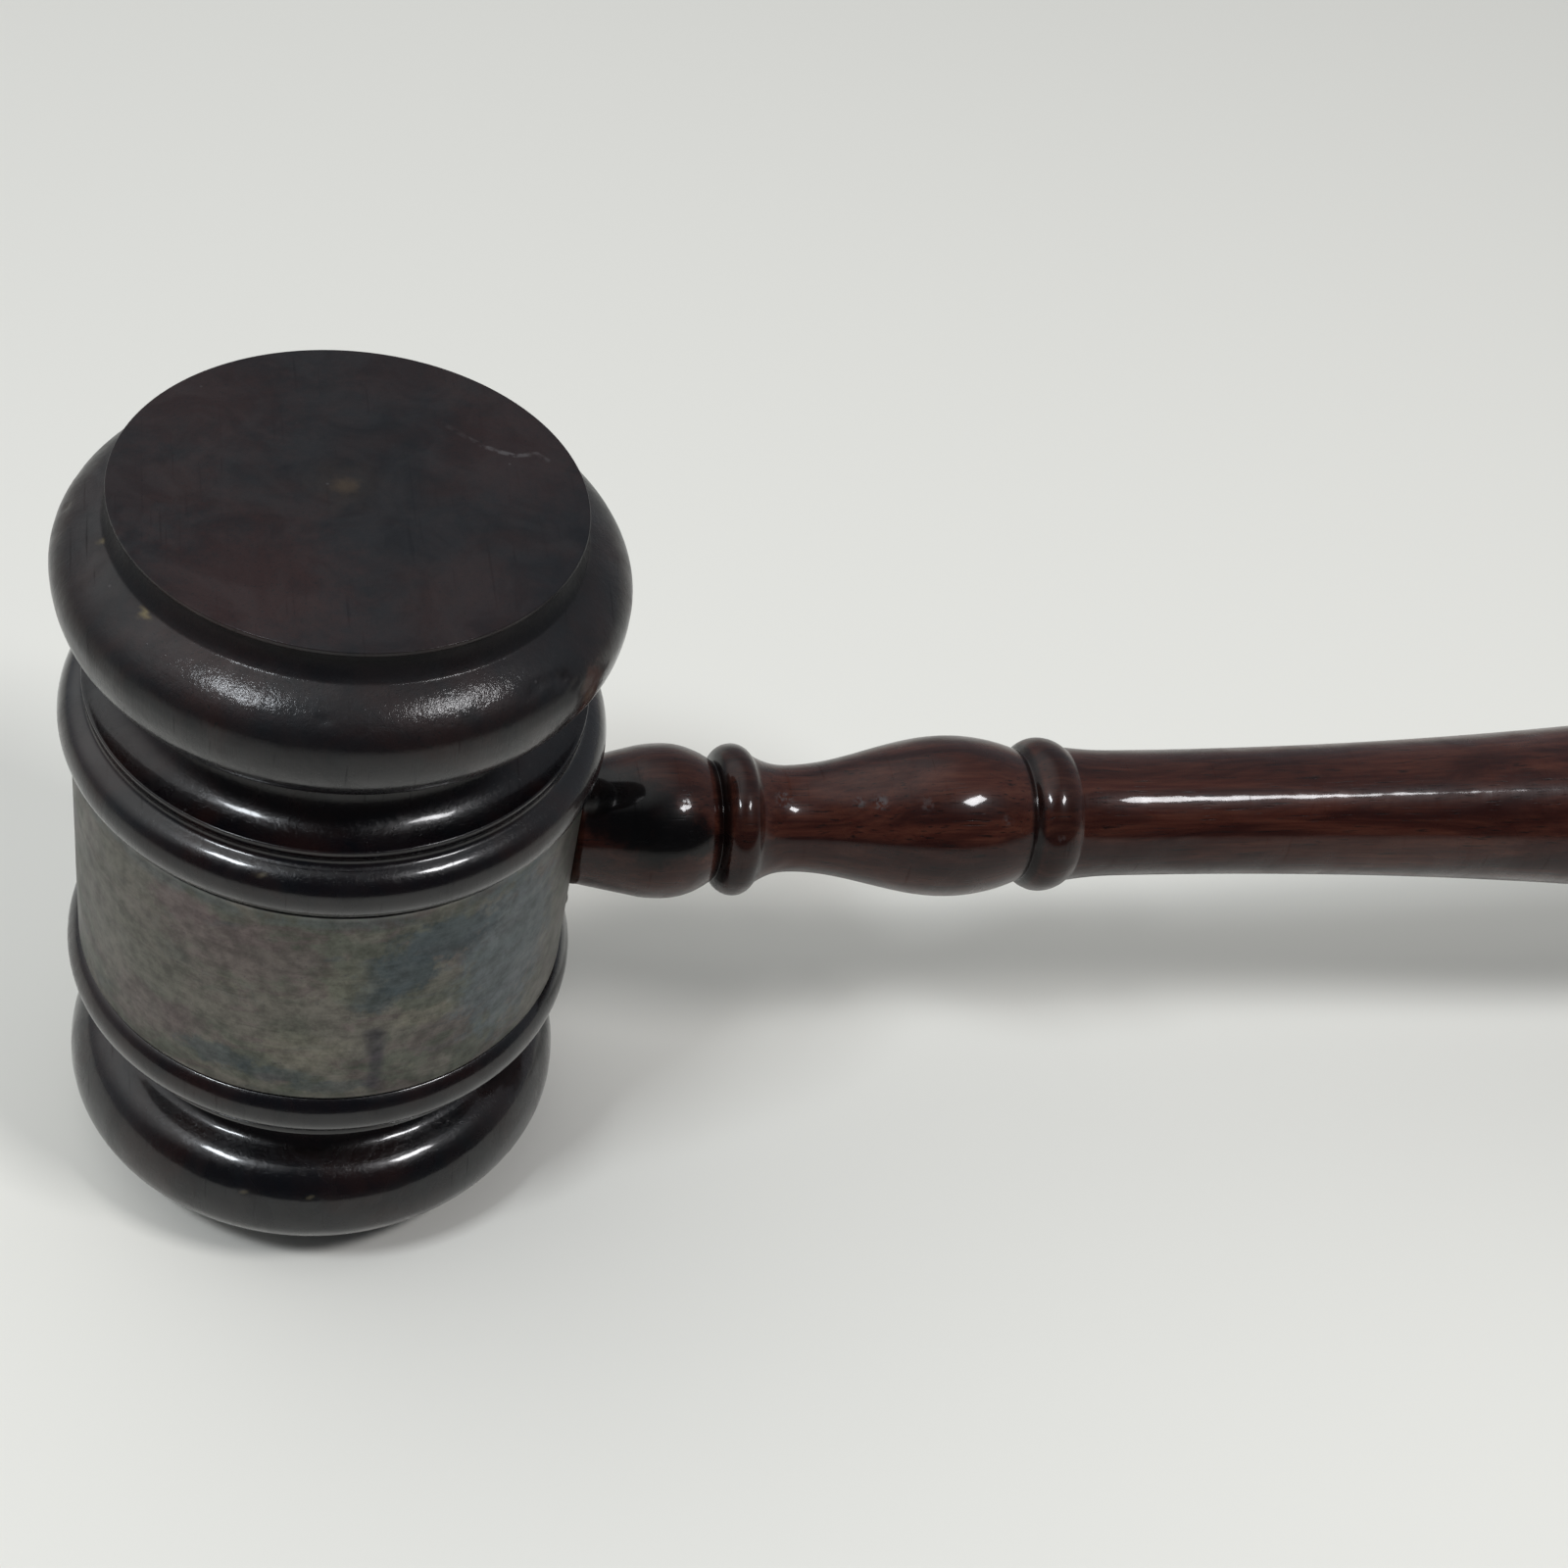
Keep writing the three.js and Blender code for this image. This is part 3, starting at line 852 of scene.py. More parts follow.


# %% [markdown]
# The handle is rosewood under a clear polish. The colour lies in the streaks along the grain,
# from near black to a warm red-brown, and the polish on top is a coat with its own gloss.
# Painted shadow and painted reflection of the dark head blacken the ball. Painted shade darkens the
# two narrow grooves, and a painted dark reflection the collars beside them.
# Its grain runs along the handle, so a Mapping node turns the handle's axis onto Z.

# %% The handle's finish
ROSE_DARK = (0.0065, 0.0019, 0.0019, 1)
ROSE_RED = (0.0320, 0.0074, 0.0050, 1)
ROSE_WARM = (0.0760, 0.0270, 0.0160, 1)
BALL_SHADOWS = [
    # x, y, z and size in mm of each black spot of painted shadow and reflection on the ball
    (30.6, -1.2, 55.7, 3.3),
    (30.8, -4.4, 53.9, 2.6),
    (33.7, -3.7, 55.7, 3.3),
    (36.4, -5.8, 55.1, 3.4),
    (39.4, -7.8, 53.3, 3.2),
    (33.6, -6.6, 53.9, 2.8),
    (36.8, -8.2, 52.4, 2.9),
    (41.4, -6.9, 52.3, 2.6),
    (42.8, -5.8, 50.8, 2.2),
]
COLLAR_SHADES = [
    # where along the handle the painted shade lies, half width in mm, how dark
    (45.5, 1.1, 0.85),
    (48.3, 2.6, 0.45),
    (85.0, 1.1, 0.80),
    (88.0, 2.8, 0.40),
]


def collar_shade(tree, place):
    """Painted shade in the two narrow grooves, and a painted dark reflection over the collars
    beside them.
    """
    along = split(tree, place)["X"]
    shade = None
    for middle, half, dark in COLLAR_SHADES:
        away = maths(tree, "ABSOLUTE", maths(tree, "SUBTRACT", along, middle * MM))
        ring = stretch_range(tree, away, 0.4 * half * MM, half * MM, dark, 0.0)
        shade = ring if shade is None else maths(tree, "MAXIMUM", shade, ring)
    return shade


def make_handle_finish():
    material, tree, shader, place = new_finish(
        "handle_wood_finish", IOR=1.5, Specular_IOR_Level=0.08, Coat_Roughness=0.07, Coat_IOR=1.5
    )
    move, lay = (HANDLE_HEIGHT, 0, 0), (0, -QUARTER_TURN, 0)
    laid = {"Vector": place, "Location": move, "Rotation": lay}
    turned = add_node(tree, "ShaderNodeMapping", laid).outputs[0]
    grain, rings, handling, worn = read_wood(tree, place, turned)
    red_share = add_up(tree, 0.3, (grain["Figure"], 0.7))
    colour = mix_colours(tree, red_share, ROSE_DARK, ROSE_RED)
    warm = maths(tree, "MULTIPLY", grain["Streaks"], grain["Figure"])
    colour = lay_over(tree, colour, warm, 0.6, ROSE_WARM)
    colour = lay_over(tree, colour, grain["Pores"], 0.7, PORE_BLACK)
    # painted shadow and painted reflection of the dark head, as black spots on the ball
    for x, y, z, size in BALL_SHADOWS:
        centre = Vector((x, y, z)) * MM
        dark = spot(tree, place, centre, size * MM, Ragged=0.3, Softness=0.35)
        colour = lay_over(tree, colour, dark, 0.93, PORE_BLACK)
    # painted shade in the grooves and painted dark reflection on the collars
    colour = mix_colours(tree, collar_shade(tree, place), colour, PORE_BLACK)
    flecks = stretch_range(tree, cloud(tree, place, 1400.0, detail=3), 0.42, 0.60)
    scuffed = maths(tree, "MULTIPLY", worn, flecks)
    colour = mix_colours(tree, scuffed, colour, SCUFF_GREY)
    smudges, hairlines = handling["Smudges"], handling["Hairlines"]
    gloss_loss = add_up(tree, 0.26, (smudges, 0.14))
    coat = add_up(tree, 0.45, (smudges, -0.12), (hairlines, -0.20), (worn, -0.5))
    connect(tree, shader, Base_Color=colour, Roughness=gloss_loss, Coat_Weight=coat)
    coat_bumps = [(cloud(tree, place, 160.0, detail=2), 0.06 * MM)]
    raise_bumps(tree, shader, coat_bumps, "Coat Normal")
    wood_bumps = [
        (cloud(tree, place, 220.0, detail=2), 0.06 * MM),
        (rings, 0.010 * MM),
        (opposite(tree, grain["Pores"]), 0.010 * MM),
    ]
    raise_bumps(tree, shader, wood_bumps)
    return material


handle_finish = make_handle_finish()
print("handle finish:", len(handle_finish.node_tree.nodes), "nodes")


# %% [markdown]
# Old silver darkens in clouds, and the film of tarnish is thin enough to show faint colours:
# taupe and olive where it is thin, then a dull rose, and blue-grey where it is thick. A slow
# noise mixes olive and taupe. Films of rose, blue-grey and a paler tone lie over them in
# streaks round the band. Streaks are easier to write on a surface laid flat, so a helper
# unrolls the band. Patches with ragged borders and a dark stain that ran down are placed as
# in the photograph. The cut edges of the strip stay brighter, because hands and cloth rub them,
# and the brightest place on the lower edge is a painted glint.

# %% The silver's finish
TAUPE = (0.128, 0.120, 0.105, 1)
OLIVE = (0.090, 0.094, 0.078, 1)
ROSE = (0.113, 0.088, 0.089, 1)
PALE = (0.170, 0.163, 0.128, 1)
BLUE_GREY = (0.056, 0.070, 0.077, 1)
PALE_BLUE = (0.092, 0.113, 0.126, 1)
STAIN = (0.034, 0.032, 0.042, 1)
RUBBED_EDGE_AND_GLINT = (0.55, 0.53, 0.50, 1)
BAND_PATCHES = [
    # azimuth, height above the middle, half width and half height in mm, colour, share
    (-143.0, 3.0, 13.0, 13.0, TAUPE, 0.6),
    (-113.0, 8.0, 9.0, 4.0, ROSE, 0.55),
    (-128.0, 11.5, 4.0, 2.0, ROSE, 0.7),
    (-137.0, -8.5, 5.0, 3.0, ROSE, 0.5),
    (-126.0, -6.8, 2.5, 2.0, ROSE, 0.5),
    (-50.0, 2.0, 7.0, 13.0, PALE_BLUE, 0.7),
    (-68.5, 9.5, 6.0, 3.4, BLUE_GREY, 0.85),
    (-79.0, 5.5, 4.6, 3.4, BLUE_GREY, 0.85),
    (-84.5, 1.6, 2.8, 2.0, BLUE_GREY, 0.7),
    (-118.0, -10.6, 4.8, 1.8, BLUE_GREY, 0.65),
    (-106.0, -11.6, 4.2, 1.3, BLUE_GREY, 0.55),
    (-92.0, -13.2, 5.0, 1.0, BLUE_GREY, 0.45),
    (-99.0, -7.0, 4.5, 3.0, PALE, 0.40),
    (-72.0, -2.6, 3.6, 1.6, PALE, 0.55),
    (-90.0, 4.5, 3.0, 3.5, PALE, 0.25),
    (60.0, 3.0, 11.0, 7.0, BLUE_GREY, 0.7),
    (118.0, -5.0, 9.0, 6.0, ROSE, 0.5),
    (165.0, 6.0, 8.0, 5.0, BLUE_GREY, 0.5),
]
BAND_FILMS = [
    # colour, how far round its noise is shifted in m, noise scale, where it starts and ends, share
    (ROSE, 0.0, 190.0, 0.50, 0.60, 0.55),
    (BLUE_GREY, 0.3, 150.0, 0.56, 0.66, 0.45),
    (PALE, 0.7, 260.0, 0.57, 0.69, 0.40),
]
UPPER_STRIP_STARTS = (MIDDLE + 12.6 * MM, MIDDLE + 14.4 * MM)
BAND_STAIN = [
    # azimuth, then height, half width and half height in mm of each part of the stain
    (-84.0, -4.0, 1.10, 1.0),
    (-83.0, -6.4, 1.15, 2.4),
    (-82.6, -9.4, 0.80, 2.6),
    (-83.0, -12.9, 1.15, 1.6),
]


def unrolled(tree, place):
    """The band laid flat: the way round it, then the height, then the distance from the axis."""
    x, y, z = split(tree, place)
    around = maths(tree, "MULTIPLY", maths(tree, "ARCTAN2", y, x), BAND_RADIUS)
    return combine(tree, around, z, vectors(tree, "LENGTH", combine(tree, x, y)))


def band_spot(tree, place, azimuth, height, wide, tall, **options):
    centre = at_azimuth(azimuth, height * MM, BAND_RADIUS)
    return spot(tree, place, centre, MM, Proportions=(wide, wide, tall), **options)


def silver_colour(tree, place, flat):
    slow = cloud(tree, place, 90.0, detail=7, roughness=0.62, distortion=1.2)
    colour = mix_colours(tree, stretch_range(tree, slow, 0.42, 0.58), OLIVE, TAUPE)
    for tint, shift, fineness, low, high, share in BAND_FILMS:
        strokes = scaled(tree, vectors(tree, "ADD", flat, (shift, 0, 0)), (0.5, 1, 1))
        film = cloud(tree, strokes, fineness, detail=7, roughness=0.65, distortion=1.5)
        colour = lay_over(tree, colour, stretch_range(tree, film, low, high), share, tint)
    for azimuth, height, wide, tall, tint, share in BAND_PATCHES:
        mask = band_spot(tree, place, azimuth, height, wide, tall, Ragged=0.45, Softness=0.3)
        colour = lay_over(tree, colour, mask, share, tint)
    patchy = stretch_range(tree, cloud(tree, place, 260.0, detail=4), 0.42, 0.56)
    height = split(tree, place)["Z"]
    strip = stretch_range(tree, height, *UPPER_STRIP_STARTS)
    colour = lay_over(tree, colour, maths(tree, "MULTIPLY", strip, patchy), 0.5, BLUE_GREY)
    for azimuth, height, wide, tall in BAND_STAIN:
        mask = band_spot(tree, place, azimuth, height, wide, tall, Ragged=0.2, Softness=0.6)
        colour = lay_over(tree, colour, mask, 0.6, STAIN)
    return colour


def silver_mottle(tree, place, flat, colour):
    """Fine unevenness in how dark the film is: specks, and lines left by polishing."""
    fine = cloud(tree, place, 520.0, detail=5, roughness=0.7)
    polish = cloud(tree, scaled(tree, flat, (0.04, 1, 1)), 2200.0, detail=3, roughness=0.6)
    both = maths(tree, "MULTIPLY_ADD", polish, 0.2, fine)
    light = stretch_range(tree, both, 0.38, 0.82, 0.68, 1.30)
    shade = add_node(tree, "ShaderNodeCombineColor", {0: light, 1: light, 2: light}).outputs[0]
    colour = mix_colours(tree, 1.0, colour, shade, blend="MULTIPLY")
    specks = stretch_range(tree, cloud(tree, place, 1900.0, detail=2), 0.66, 0.74)
    colour = lay_over(tree, colour, specks, 0.35, STAIN)
    return colour, fine, polish


def make_silver_finish():
    material, tree, shader, place = new_finish("band_silver_finish", Metallic=1.0)
    flat = unrolled(tree, place)
    colour = silver_colour(tree, place, flat)
    colour, fine, polish = silver_mottle(tree, place, flat, colour)
    edge = read_worn(tree)
    # the rubbed edges, and the painted glint on the lower edge, are lightened
    colour = lay_over(tree, colour, edge, 0.7, RUBBED_EDGE_AND_GLINT)
    smudges = use_group(tree, handling_group, Vector=place)["Smudges"]
    gloss_loss = add_up(tree, 0.40, (smudges, 0.10), (edge, -0.15))
    connect(tree, shader, Base_Color=colour, Roughness=gloss_loss)
    bumps = [
        (cloud(tree, place, 160.0, detail=3), 0.10 * MM),
        (fine, 0.012 * MM),
        (polish, 0.004 * MM),
    ]
    raise_bumps(tree, shader, bumps)
    return material


silver_finish = make_silver_finish()
print("silver finish:", len(silver_finish.node_tree.nodes), "nodes")


# %% [markdown]
# Now the shapes. The head's outline is written once for its upper half and mirrored, as a
# turner works from a template. From the middle up it has the band's recess, an astragal, a
# groove, a fillet, a scotia, the large bead, a cove and the face's narrow rim. Each has a
# small table in millimetres: a depth is cut below the blank's surface, and a rise, a fall, a
# wall or a height runs along the axis. Only the turns are in degrees.

# %% The head's outline
CORNER = 0.16 * MM
FILLET_EDGE = 0.32 * MM
RECESS = {"depth": 2.4, "end_gap": 0.25}
ASTRAGAL = {"depth": 0.16, "shoulder_depth": 1.6, "neck_depth": 2.4, "rise": 2.85, "fall": 3.2}
GROOVE = {"height": 1.45, "hollow": 0.45}
FILLET = {"depth": 2.75, "height": 0.85}
SCOTIA = {"deepest": 7.5, "fall": 4.7, "rise": 2.65, "end_depth": 5.5}
SCOTIA_TURNS = {"fall": 90, "rise": 69}
BEAD = {"start_depth": 4.2, "wall": 0.45, "rise": 7.4, "fall": 5.9, "end_depth": 5.2}
BEAD_TURNS = {"start": 75, "end": 50}
COVE = {"depth": 6.45, "height": 3.2}
RIM = {"depth": 5.65, "bevel": 0.1}
ARC_PER_CHORD = 1.2
FACE_STEP = 1.2 * MM
GROOVE_STEP = 0.25 * MM
RECESS_STEP = 3 * MM


def below(depth):
    return BLANK_RADIUS - depth * MM


def ellipse_arc(crest, end, turn, step=STEP_LENGTH):
    """Part of an ellipse, level with the axis at its crest and turned by so many degrees."""
    turn = math.radians(turn)
    steps = steps_for(ARC_PER_CHORD * math.dist(crest, end), step)
    angles = np.linspace(0, turn, steps + 1)
    along = crest[0] + (end[0] - crest[0]) * np.sin(angles) / math.sin(turn)
    fallen = (1 - np.cos(angles)) / (1 - math.cos(turn))
    return list(zip(along, crest[1] - (crest[1] - end[1]) * fallen))


def onwards(point, run, depth):
    """The next corner of the outline: so far along the axis, and so deep below the blank."""
    return (point[0] + run * MM, below(depth))


def head_half_outline():
    recess_end = BAND_HALF_WIDTH + RECESS["end_gap"] * MM
    shoulder = (recess_end, below(ASTRAGAL["shoulder_depth"]))
    astragal_crest = onwards(shoulder, ASTRAGAL["rise"], ASTRAGAL["depth"])
    astragal_end = onwards(astragal_crest, ASTRAGAL["fall"], ASTRAGAL["neck_depth"])
    fillet_start = onwards(astragal_end, GROOVE["height"], FILLET["depth"])
    fillet_end = onwards(fillet_start, FILLET["height"], FILLET["depth"])
    scotia_root = onwards(fillet_end, SCOTIA["fall"], SCOTIA["deepest"])
    scotia_end = onwards(scotia_root, SCOTIA["rise"], SCOTIA["end_depth"])
    bead_start = onwards(scotia_end, BEAD["wall"], BEAD["start_depth"])
    bead_crest = onwards(bead_start, BEAD["rise"], 0)
    bead_end = onwards(bead_crest, BEAD["fall"], BEAD["end_depth"])
    cove_end = onwards(bead_end, COVE["height"], COVE["depth"])
    rim_radius, bevel = below(RIM["depth"]), RIM["bevel"] * MM
    recess_radius = below(RECESS["depth"])
    recess = straight((0, recess_radius), (recess_end, recess_radius), RECESS_STEP)
    astragal = join(
        crest_arc(astragal_crest, shoulder)[::-1],
        crest_arc(astragal_crest, astragal_end),
        hollow_arc(astragal_end, fillet_start, GROOVE["hollow"] * MM, GROOVE_STEP),
    )
    scotia = join(
        ellipse_arc(scotia_root, fillet_end, SCOTIA_TURNS["fall"])[::-1],
        ellipse_arc(scotia_root, scotia_end, SCOTIA_TURNS["rise"]),
        straight(scotia_end, bead_start, STEP_LENGTH),
    )
    bead = join(
        ellipse_arc(bead_crest, bead_start, BEAD_TURNS["start"])[::-1],
        ellipse_arc(bead_crest, bead_end, BEAD_TURNS["end"]),
        crest_arc(cove_end, bead_end)[::-1],
    )
    rim = [(cove_end[0], rim_radius), (FACE - bevel, rim_radius)]
    face = straight((FACE, rim_radius - bevel), (FACE, 0), FACE_STEP)
    lower = ease_corners(join(recess, astragal, [fillet_start]), CORNER)
    fillet = ease_corners(join([fillet_start, fillet_end], scotia), FILLET_EDGE)
    upper = ease_corners(join(scotia[-2:], bead, rim, face), CORNER)
    return join(lower, fillet[:-1], upper)


def head_outline():
    half = head_half_outline()
    lower = [(-along, radius) for along, radius in half[::-1]]
    return [(MIDDLE + along, radius) for along, radius in join(lower, half)]


HEAD_SIDES = 280
head_mesh = turn("head_turned", head_outline(), HEAD_SIDES, head_finish)
print("head:", len(head_outline()), "outline points,", len(head_mesh.polygons), "faces")


# %% [markdown]
# A gavel that has been used has dents. Each mark below has a place, a size, a depth and how
# bare it leaves the wood. The same list moves the surface and fills the attribute worn, so
# that shape and colour agree. Small random dents, from a fixed seed, keep the beads from
# looking like plastic. Their ranges are in millimetres.

# %% Dents and wear
HEAD_MARKS = [
    # azimuth, height above the middle, size, depth in mm, bareness
    (-46.9, 42.4, 1.1, 0.38, 0.0),
    (-49.5, 42.9, 0.7, 0.18, 0.0),
    (-44.6, 41.3, 0.8, 0.22, 0.0),
    (-53.0, 43.0, 0.9, 0.20, 0.0),
    (-56.0, 42.6, 0.7, 0.14, 0.0),
    (-42.0, 40.2, 1.0, 0.20, 0.05),
    (-40.0, 38.6, 1.2, 0.22, 0.12),
    (-38.2, 36.9, 0.8, 0.18, 0.10),
    (-98.8, 43.2, 0.6, 0.22, 0.0),
    (-145.2, 44.95, 0.60, 0.16, 0.75),
    (-143.6, 44.85, 0.45, 0.12, 0.55),
    (-147.0, 45.0, 0.35, 0.10, 0.35),
    (-171.2, 45.0, 0.45, 0.12, 0.45),
    (-109.8, 20.9, 0.45, 0.12, 0.30),
    (-110.6, -34.7, 0.35, 0.08, 0.25),
    (-95.3, -34.5, 0.35, 0.08, 0.25),
    (62.0, 40.5, 1.1, 0.22, 0.05),
    (118.0, -41.0, 0.9, 0.20, 0.10),
    (171.0, 42.5, 0.8, 0.16, 0.05),
]
RANDOM_DENTS = 150
DENT_SEED = 11
DENT_HEIGHTS, DENT_SIZES, DENT_DEPTHS = (33, 44), (0.8, 2.0), (0.01, 0.05)


def write_worn(mesh, worn):
    attribute = mesh.attributes.new("worn", "FLOAT", "POINT")
    attribute.data.foreach_set("value", worn.astype(np.float32))
    mesh.update()


def press_marks(mesh, marks):
    """Pushes the surface in at each mark, (centre, size, depth, bareness), and fills 'worn'."""
    count = len(mesh.vertices)
    places = np.zeros(count * 3)
    mesh.vertices.foreach_get("co", places)
    places = places.reshape(-1, 3)
    normals = np.array([vertex.normal for vertex in mesh.vertices])
    worn, moves = np.zeros(count), np.zeros(count)
    for centre, size, depth, bareness in marks:
        distance = np.linalg.norm(places - np.array(centre), axis=1) / size
        near = np.clip(1 - distance**2, 0, 1) ** 2
        moves += near * depth
        worn = np.maximum(worn, np.clip(near * 2, 0, 1) * bareness)
    places -= normals * moves[:, None]
    mesh.vertices.foreach_set("co", places.ravel())
    write_worn(mesh, worn)


def surface_radius(outline, height):
    """The outline's radius at its point nearest to a height."""
    heights = np.array([along for along, _ in outline])
    radii = np.array([radius for _, radius in outline])
    return float(radii[np.argmin(np.abs(heights - height))])


def head_marks():
    outline = head_outline()
    chance = np.random.default_rng(DENT_SEED)
    marks = []
    for azimuth, height, size, depth, bareness in HEAD_MARKS:
        radius = surface_radius(outline, MIDDLE + height * MM)
        marks.append((at_azimuth(azimuth, height * MM, radius), size * MM, depth * MM, bareness))
    for _ in range(RANDOM_DENTS):
        height = chance.choice([-1, 1]) * chance.uniform(*DENT_HEIGHTS) * MM
        radius = surface_radius(outline, MIDDLE + height)
        place = at_azimuth(chance.uniform(0, 360), height, radius)
        size, depth = chance.uniform(*DENT_SIZES), chance.uniform(*DENT_DEPTHS)
        marks.append((place, size * MM, depth * MM, 0.0))
    return marks


press_marks(head_mesh, head_marks())
print("head:", len(HEAD_MARKS), "placed marks and", RANDOM_DENTS, "random dents")


# %% [markdown]
# Holes are cut with a Boolean modifier, whose Manifold solver is fast on closed meshes. The
# head gets a blind mortise for the tenon and four small holes for the band's pins. The
# cutters are plain bars from the same lathe, laid along the direction they drill in.

# %% Drill the head
def bar(name, start, end, radius, sides, angle=0.0, height=0.0):
    """A round bar that points away from the head's axis at the given angle and height."""
    outline = [(start, 0), (start, radius), (end, radius), (end, 0)]
    mesh = turn(name, outline, sides, None)
    lay = Matrix.Rotation(angle, 4, "Z") @ Matrix.Rotation(QUARTER_TURN, 4, "Y")
    mesh.transform(Matrix.Translation((0, 0, height)) @ lay)
    return mesh


def cut(name, mesh, cutters):
    body = object_from(name, mesh)
    for cutter_mesh in cutters:
        cutter = object_from("cutter", cutter_mesh)
        modifier = body.modifiers.new("cut", "BOOLEAN")
        modifier.operation = "DIFFERENCE"
        modifier.solver = "MANIFOLD"
        modifier.object = cutter
        result = result_of(body)
        body.modifiers.remove(modifier)
        bpy.data.objects.remove(cutter)
        body.data = result
    body.data.name = name
    return body


BORE_SIDES = 48
PIN_HOLE_SIDES = 24
TENON_RADIUS = 6.35 * MM
TENON_FIT = 0.15 * MM
BAND_HOLE_SPACE = 0.35 * MM
MORTISE_END_SPACE = 0.5 * MM
PIN_SHANK_RADIUS = 0.5 * MM
PIN_HOLE_RADIUS = 0.62 * MM
PIN_LENGTH = 5.0 * MM
OVERRUN = 2.0 * MM

pin_low, pin_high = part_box("band_pin_upper_back")
pin_middle = (pin_low + pin_high) / 2
PIN_ANGLE = math.atan2(pin_middle.y, pin_middle.x)
PIN_RISE = pin_middle.z - MIDDLE
PIN_PLACES = [(side * PIN_ANGLE, MIDDLE + up * PIN_RISE) for side in (-1, 1) for up in (-1, 1)]


def pin_drills():
    deep, out = BAND_RADIUS - PIN_LENGTH - MORTISE_END_SPACE, BAND_RADIUS + OVERRUN
    return [
        bar("drill", deep, out, PIN_HOLE_RADIUS, PIN_HOLE_SIDES, angle, height)
        for angle, height in PIN_PLACES
    ]


def bore(name, start, radius):
    """A bar along the handle's axis, out past the head's surface."""
    return bar(name, start, BLANK_RADIUS + OVERRUN, radius, BORE_SIDES, height=HANDLE_HEIGHT)


mortise = bore("mortise", TENON_TIP - MORTISE_END_SPACE, TENON_RADIUS + TENON_FIT)
head = cut("head_turning", head_mesh, [mortise] + pin_drills())
print("head drilled:", len(head.data.polygons), "faces")


# %% [markdown]
# The presentation band is a strip of sheet silver bent round the waist. Its section is a thin
# rectangle with eased edges, carried almost all the way round, so its two ends meet at the
# handle with a hair's gap. Hand-bent sheet is never quite true, so a slow noise moves its
# face in by a few hundredths of a millimetre. Its edges are rubbed bright in patches, and one
# place on the lower edge is brightened further, as a painted glint.

# %% The band
BAND_THICKNESS = 0.8 * MM
BAND_SEAM = 0.35 * MM
BAND_SIDES = 320
BAND_EDGE = 0.18 * MM
BAND_STEP = 0.7 * MM
RIPPLE_DEPTH = 0.07 * MM
RIPPLE_LENGTH = 9 * MM
RUBBED_WIDTH = 0.3 * MM
RUBBED_PATCH_LENGTH = 2.2 * MM
RUBBED_SHARE = 0.6
PAINTED_GLINT_AZIMUTH = -128
PAINTED_GLINT_HALF_ANGLE = 6
PAINTED_GLINT_STEEPNESS = 3


def band_section():
    """It starts and ends on its flat inner side, so that all four corners are eased."""
    inner, half = BAND_RADIUS - BAND_THICKNESS, BAND_HALF_WIDTH
    outer_side = straight((-half, BAND_RADIUS), (half, BAND_RADIUS), BAND_STEP)
    section = join([(0, inner), (-half, inner)], outer_side, [(half, inner), (half / 2, inner)])
    return [(MIDDLE + along, radius) for along, radius in ease_corners(section, BAND_EDGE)]


def ripple_band(mesh):
    """Uneven sheet: the outer face sinks a little here and there, its edges are worn, and one place
    on the lower edge gets a painted glint.
    """
    worn = np.zeros(len(mesh.vertices))
    for index, vertex in enumerate(mesh.vertices):
        x, y, z = vertex.co
        radius = math.hypot(x, y)
        if radius < BAND_RADIUS - BAND_THICKNESS / 2:
            continue
        slow = 0.5 + 0.5 * noise.noise(vertex.co / RIPPLE_LENGTH)
        new_radius = radius - RIPPLE_DEPTH * slow
        vertex.co.x, vertex.co.y = x * new_radius / radius, y * new_radius / radius
        to_edge = BAND_HALF_WIDTH - abs(z - MIDDLE)
        patchy = 0.5 + 0.5 * noise.noise(vertex.co / RUBBED_PATCH_LENGTH)
        rubbed = max(0.0, 1 - to_edge / RUBBED_WIDTH)
        # painted glint: one place on the lower edge is made fully bright, as light catching it
        away = abs(math.degrees(math.atan2(y, x)) - PAINTED_GLINT_AZIMUTH) / PAINTED_GLINT_HALF_ANGLE
        glint = max(0.0, 1 - away) if z < MIDDLE else 0.0
        worn[index] = rubbed * max(RUBBED_SHARE * patchy, min(1.0, PAINTED_GLINT_STEEPNESS * glint))
    write_worn(mesh, worn)


seam_angle = BAND_SEAM / BAND_RADIUS
band_mesh = turn("band_strip", band_section(), BAND_SIDES, silver_finish, seam_angle, closed=True)
ripple_band(band_mesh)
tenon_hole = bore("tenon_hole", 0, TENON_RADIUS + BAND_HOLE_SPACE)
band = cut("presentation_band_strip", band_mesh, [tenon_hole] + pin_drills())
print("band:", len(band.data.polygons), "faces")


# %% [markdown]
# The handle comes off the same lathe, turned about Z and then laid along +X. From the band it
# has a short cone and a ball, a narrow groove or quirk, a collar with its fillet, a neck, a
# belly, then a second quirk and collar, the waist, a long grip and the rounded butt. The
# tables are in millimetres: a rise, a fall or a length runs along the handle, and the cone is
# measured from the silver. The seat is coped: hollowed to the band's curve, so that the cone
# sits close on the silver. That is done by moving the seat's points onto the band's cylinder.

# %% The handle's outline
SEAT_RADIUS = 7.35 * MM
SEAT_GAP = 0.04 * MM
UNCOPED_PLACE = BAND_RADIUS - 2 * SEAT_RADIUS
HANDLE_SIDES = 160
CONE = {"start": 0.3, "start_radius": 7.42, "end": 7.75, "end_radius": 9.15}
BALL = {"rise": 3.0, "radius": 9.4, "fall": 6.2}
FIRST_QUIRK = {"radius": 7.2}
FIRST_COLLAR = {"rise": 2.6, "radius": 9.3, "fall": 2.1, "fillet_radius": 8.05}
NECK = {"fall": 4.8, "radius": 6.55}
BELLY = {"rise": 20.8, "radius": 10.05, "fall": 9.2}
SECOND_QUIRK = {"radius": 8.2}
SECOND_COLLAR = {"rise": 2.9, "radius": 9.7, "fall": 3.1, "fillet_radius": 8.5}
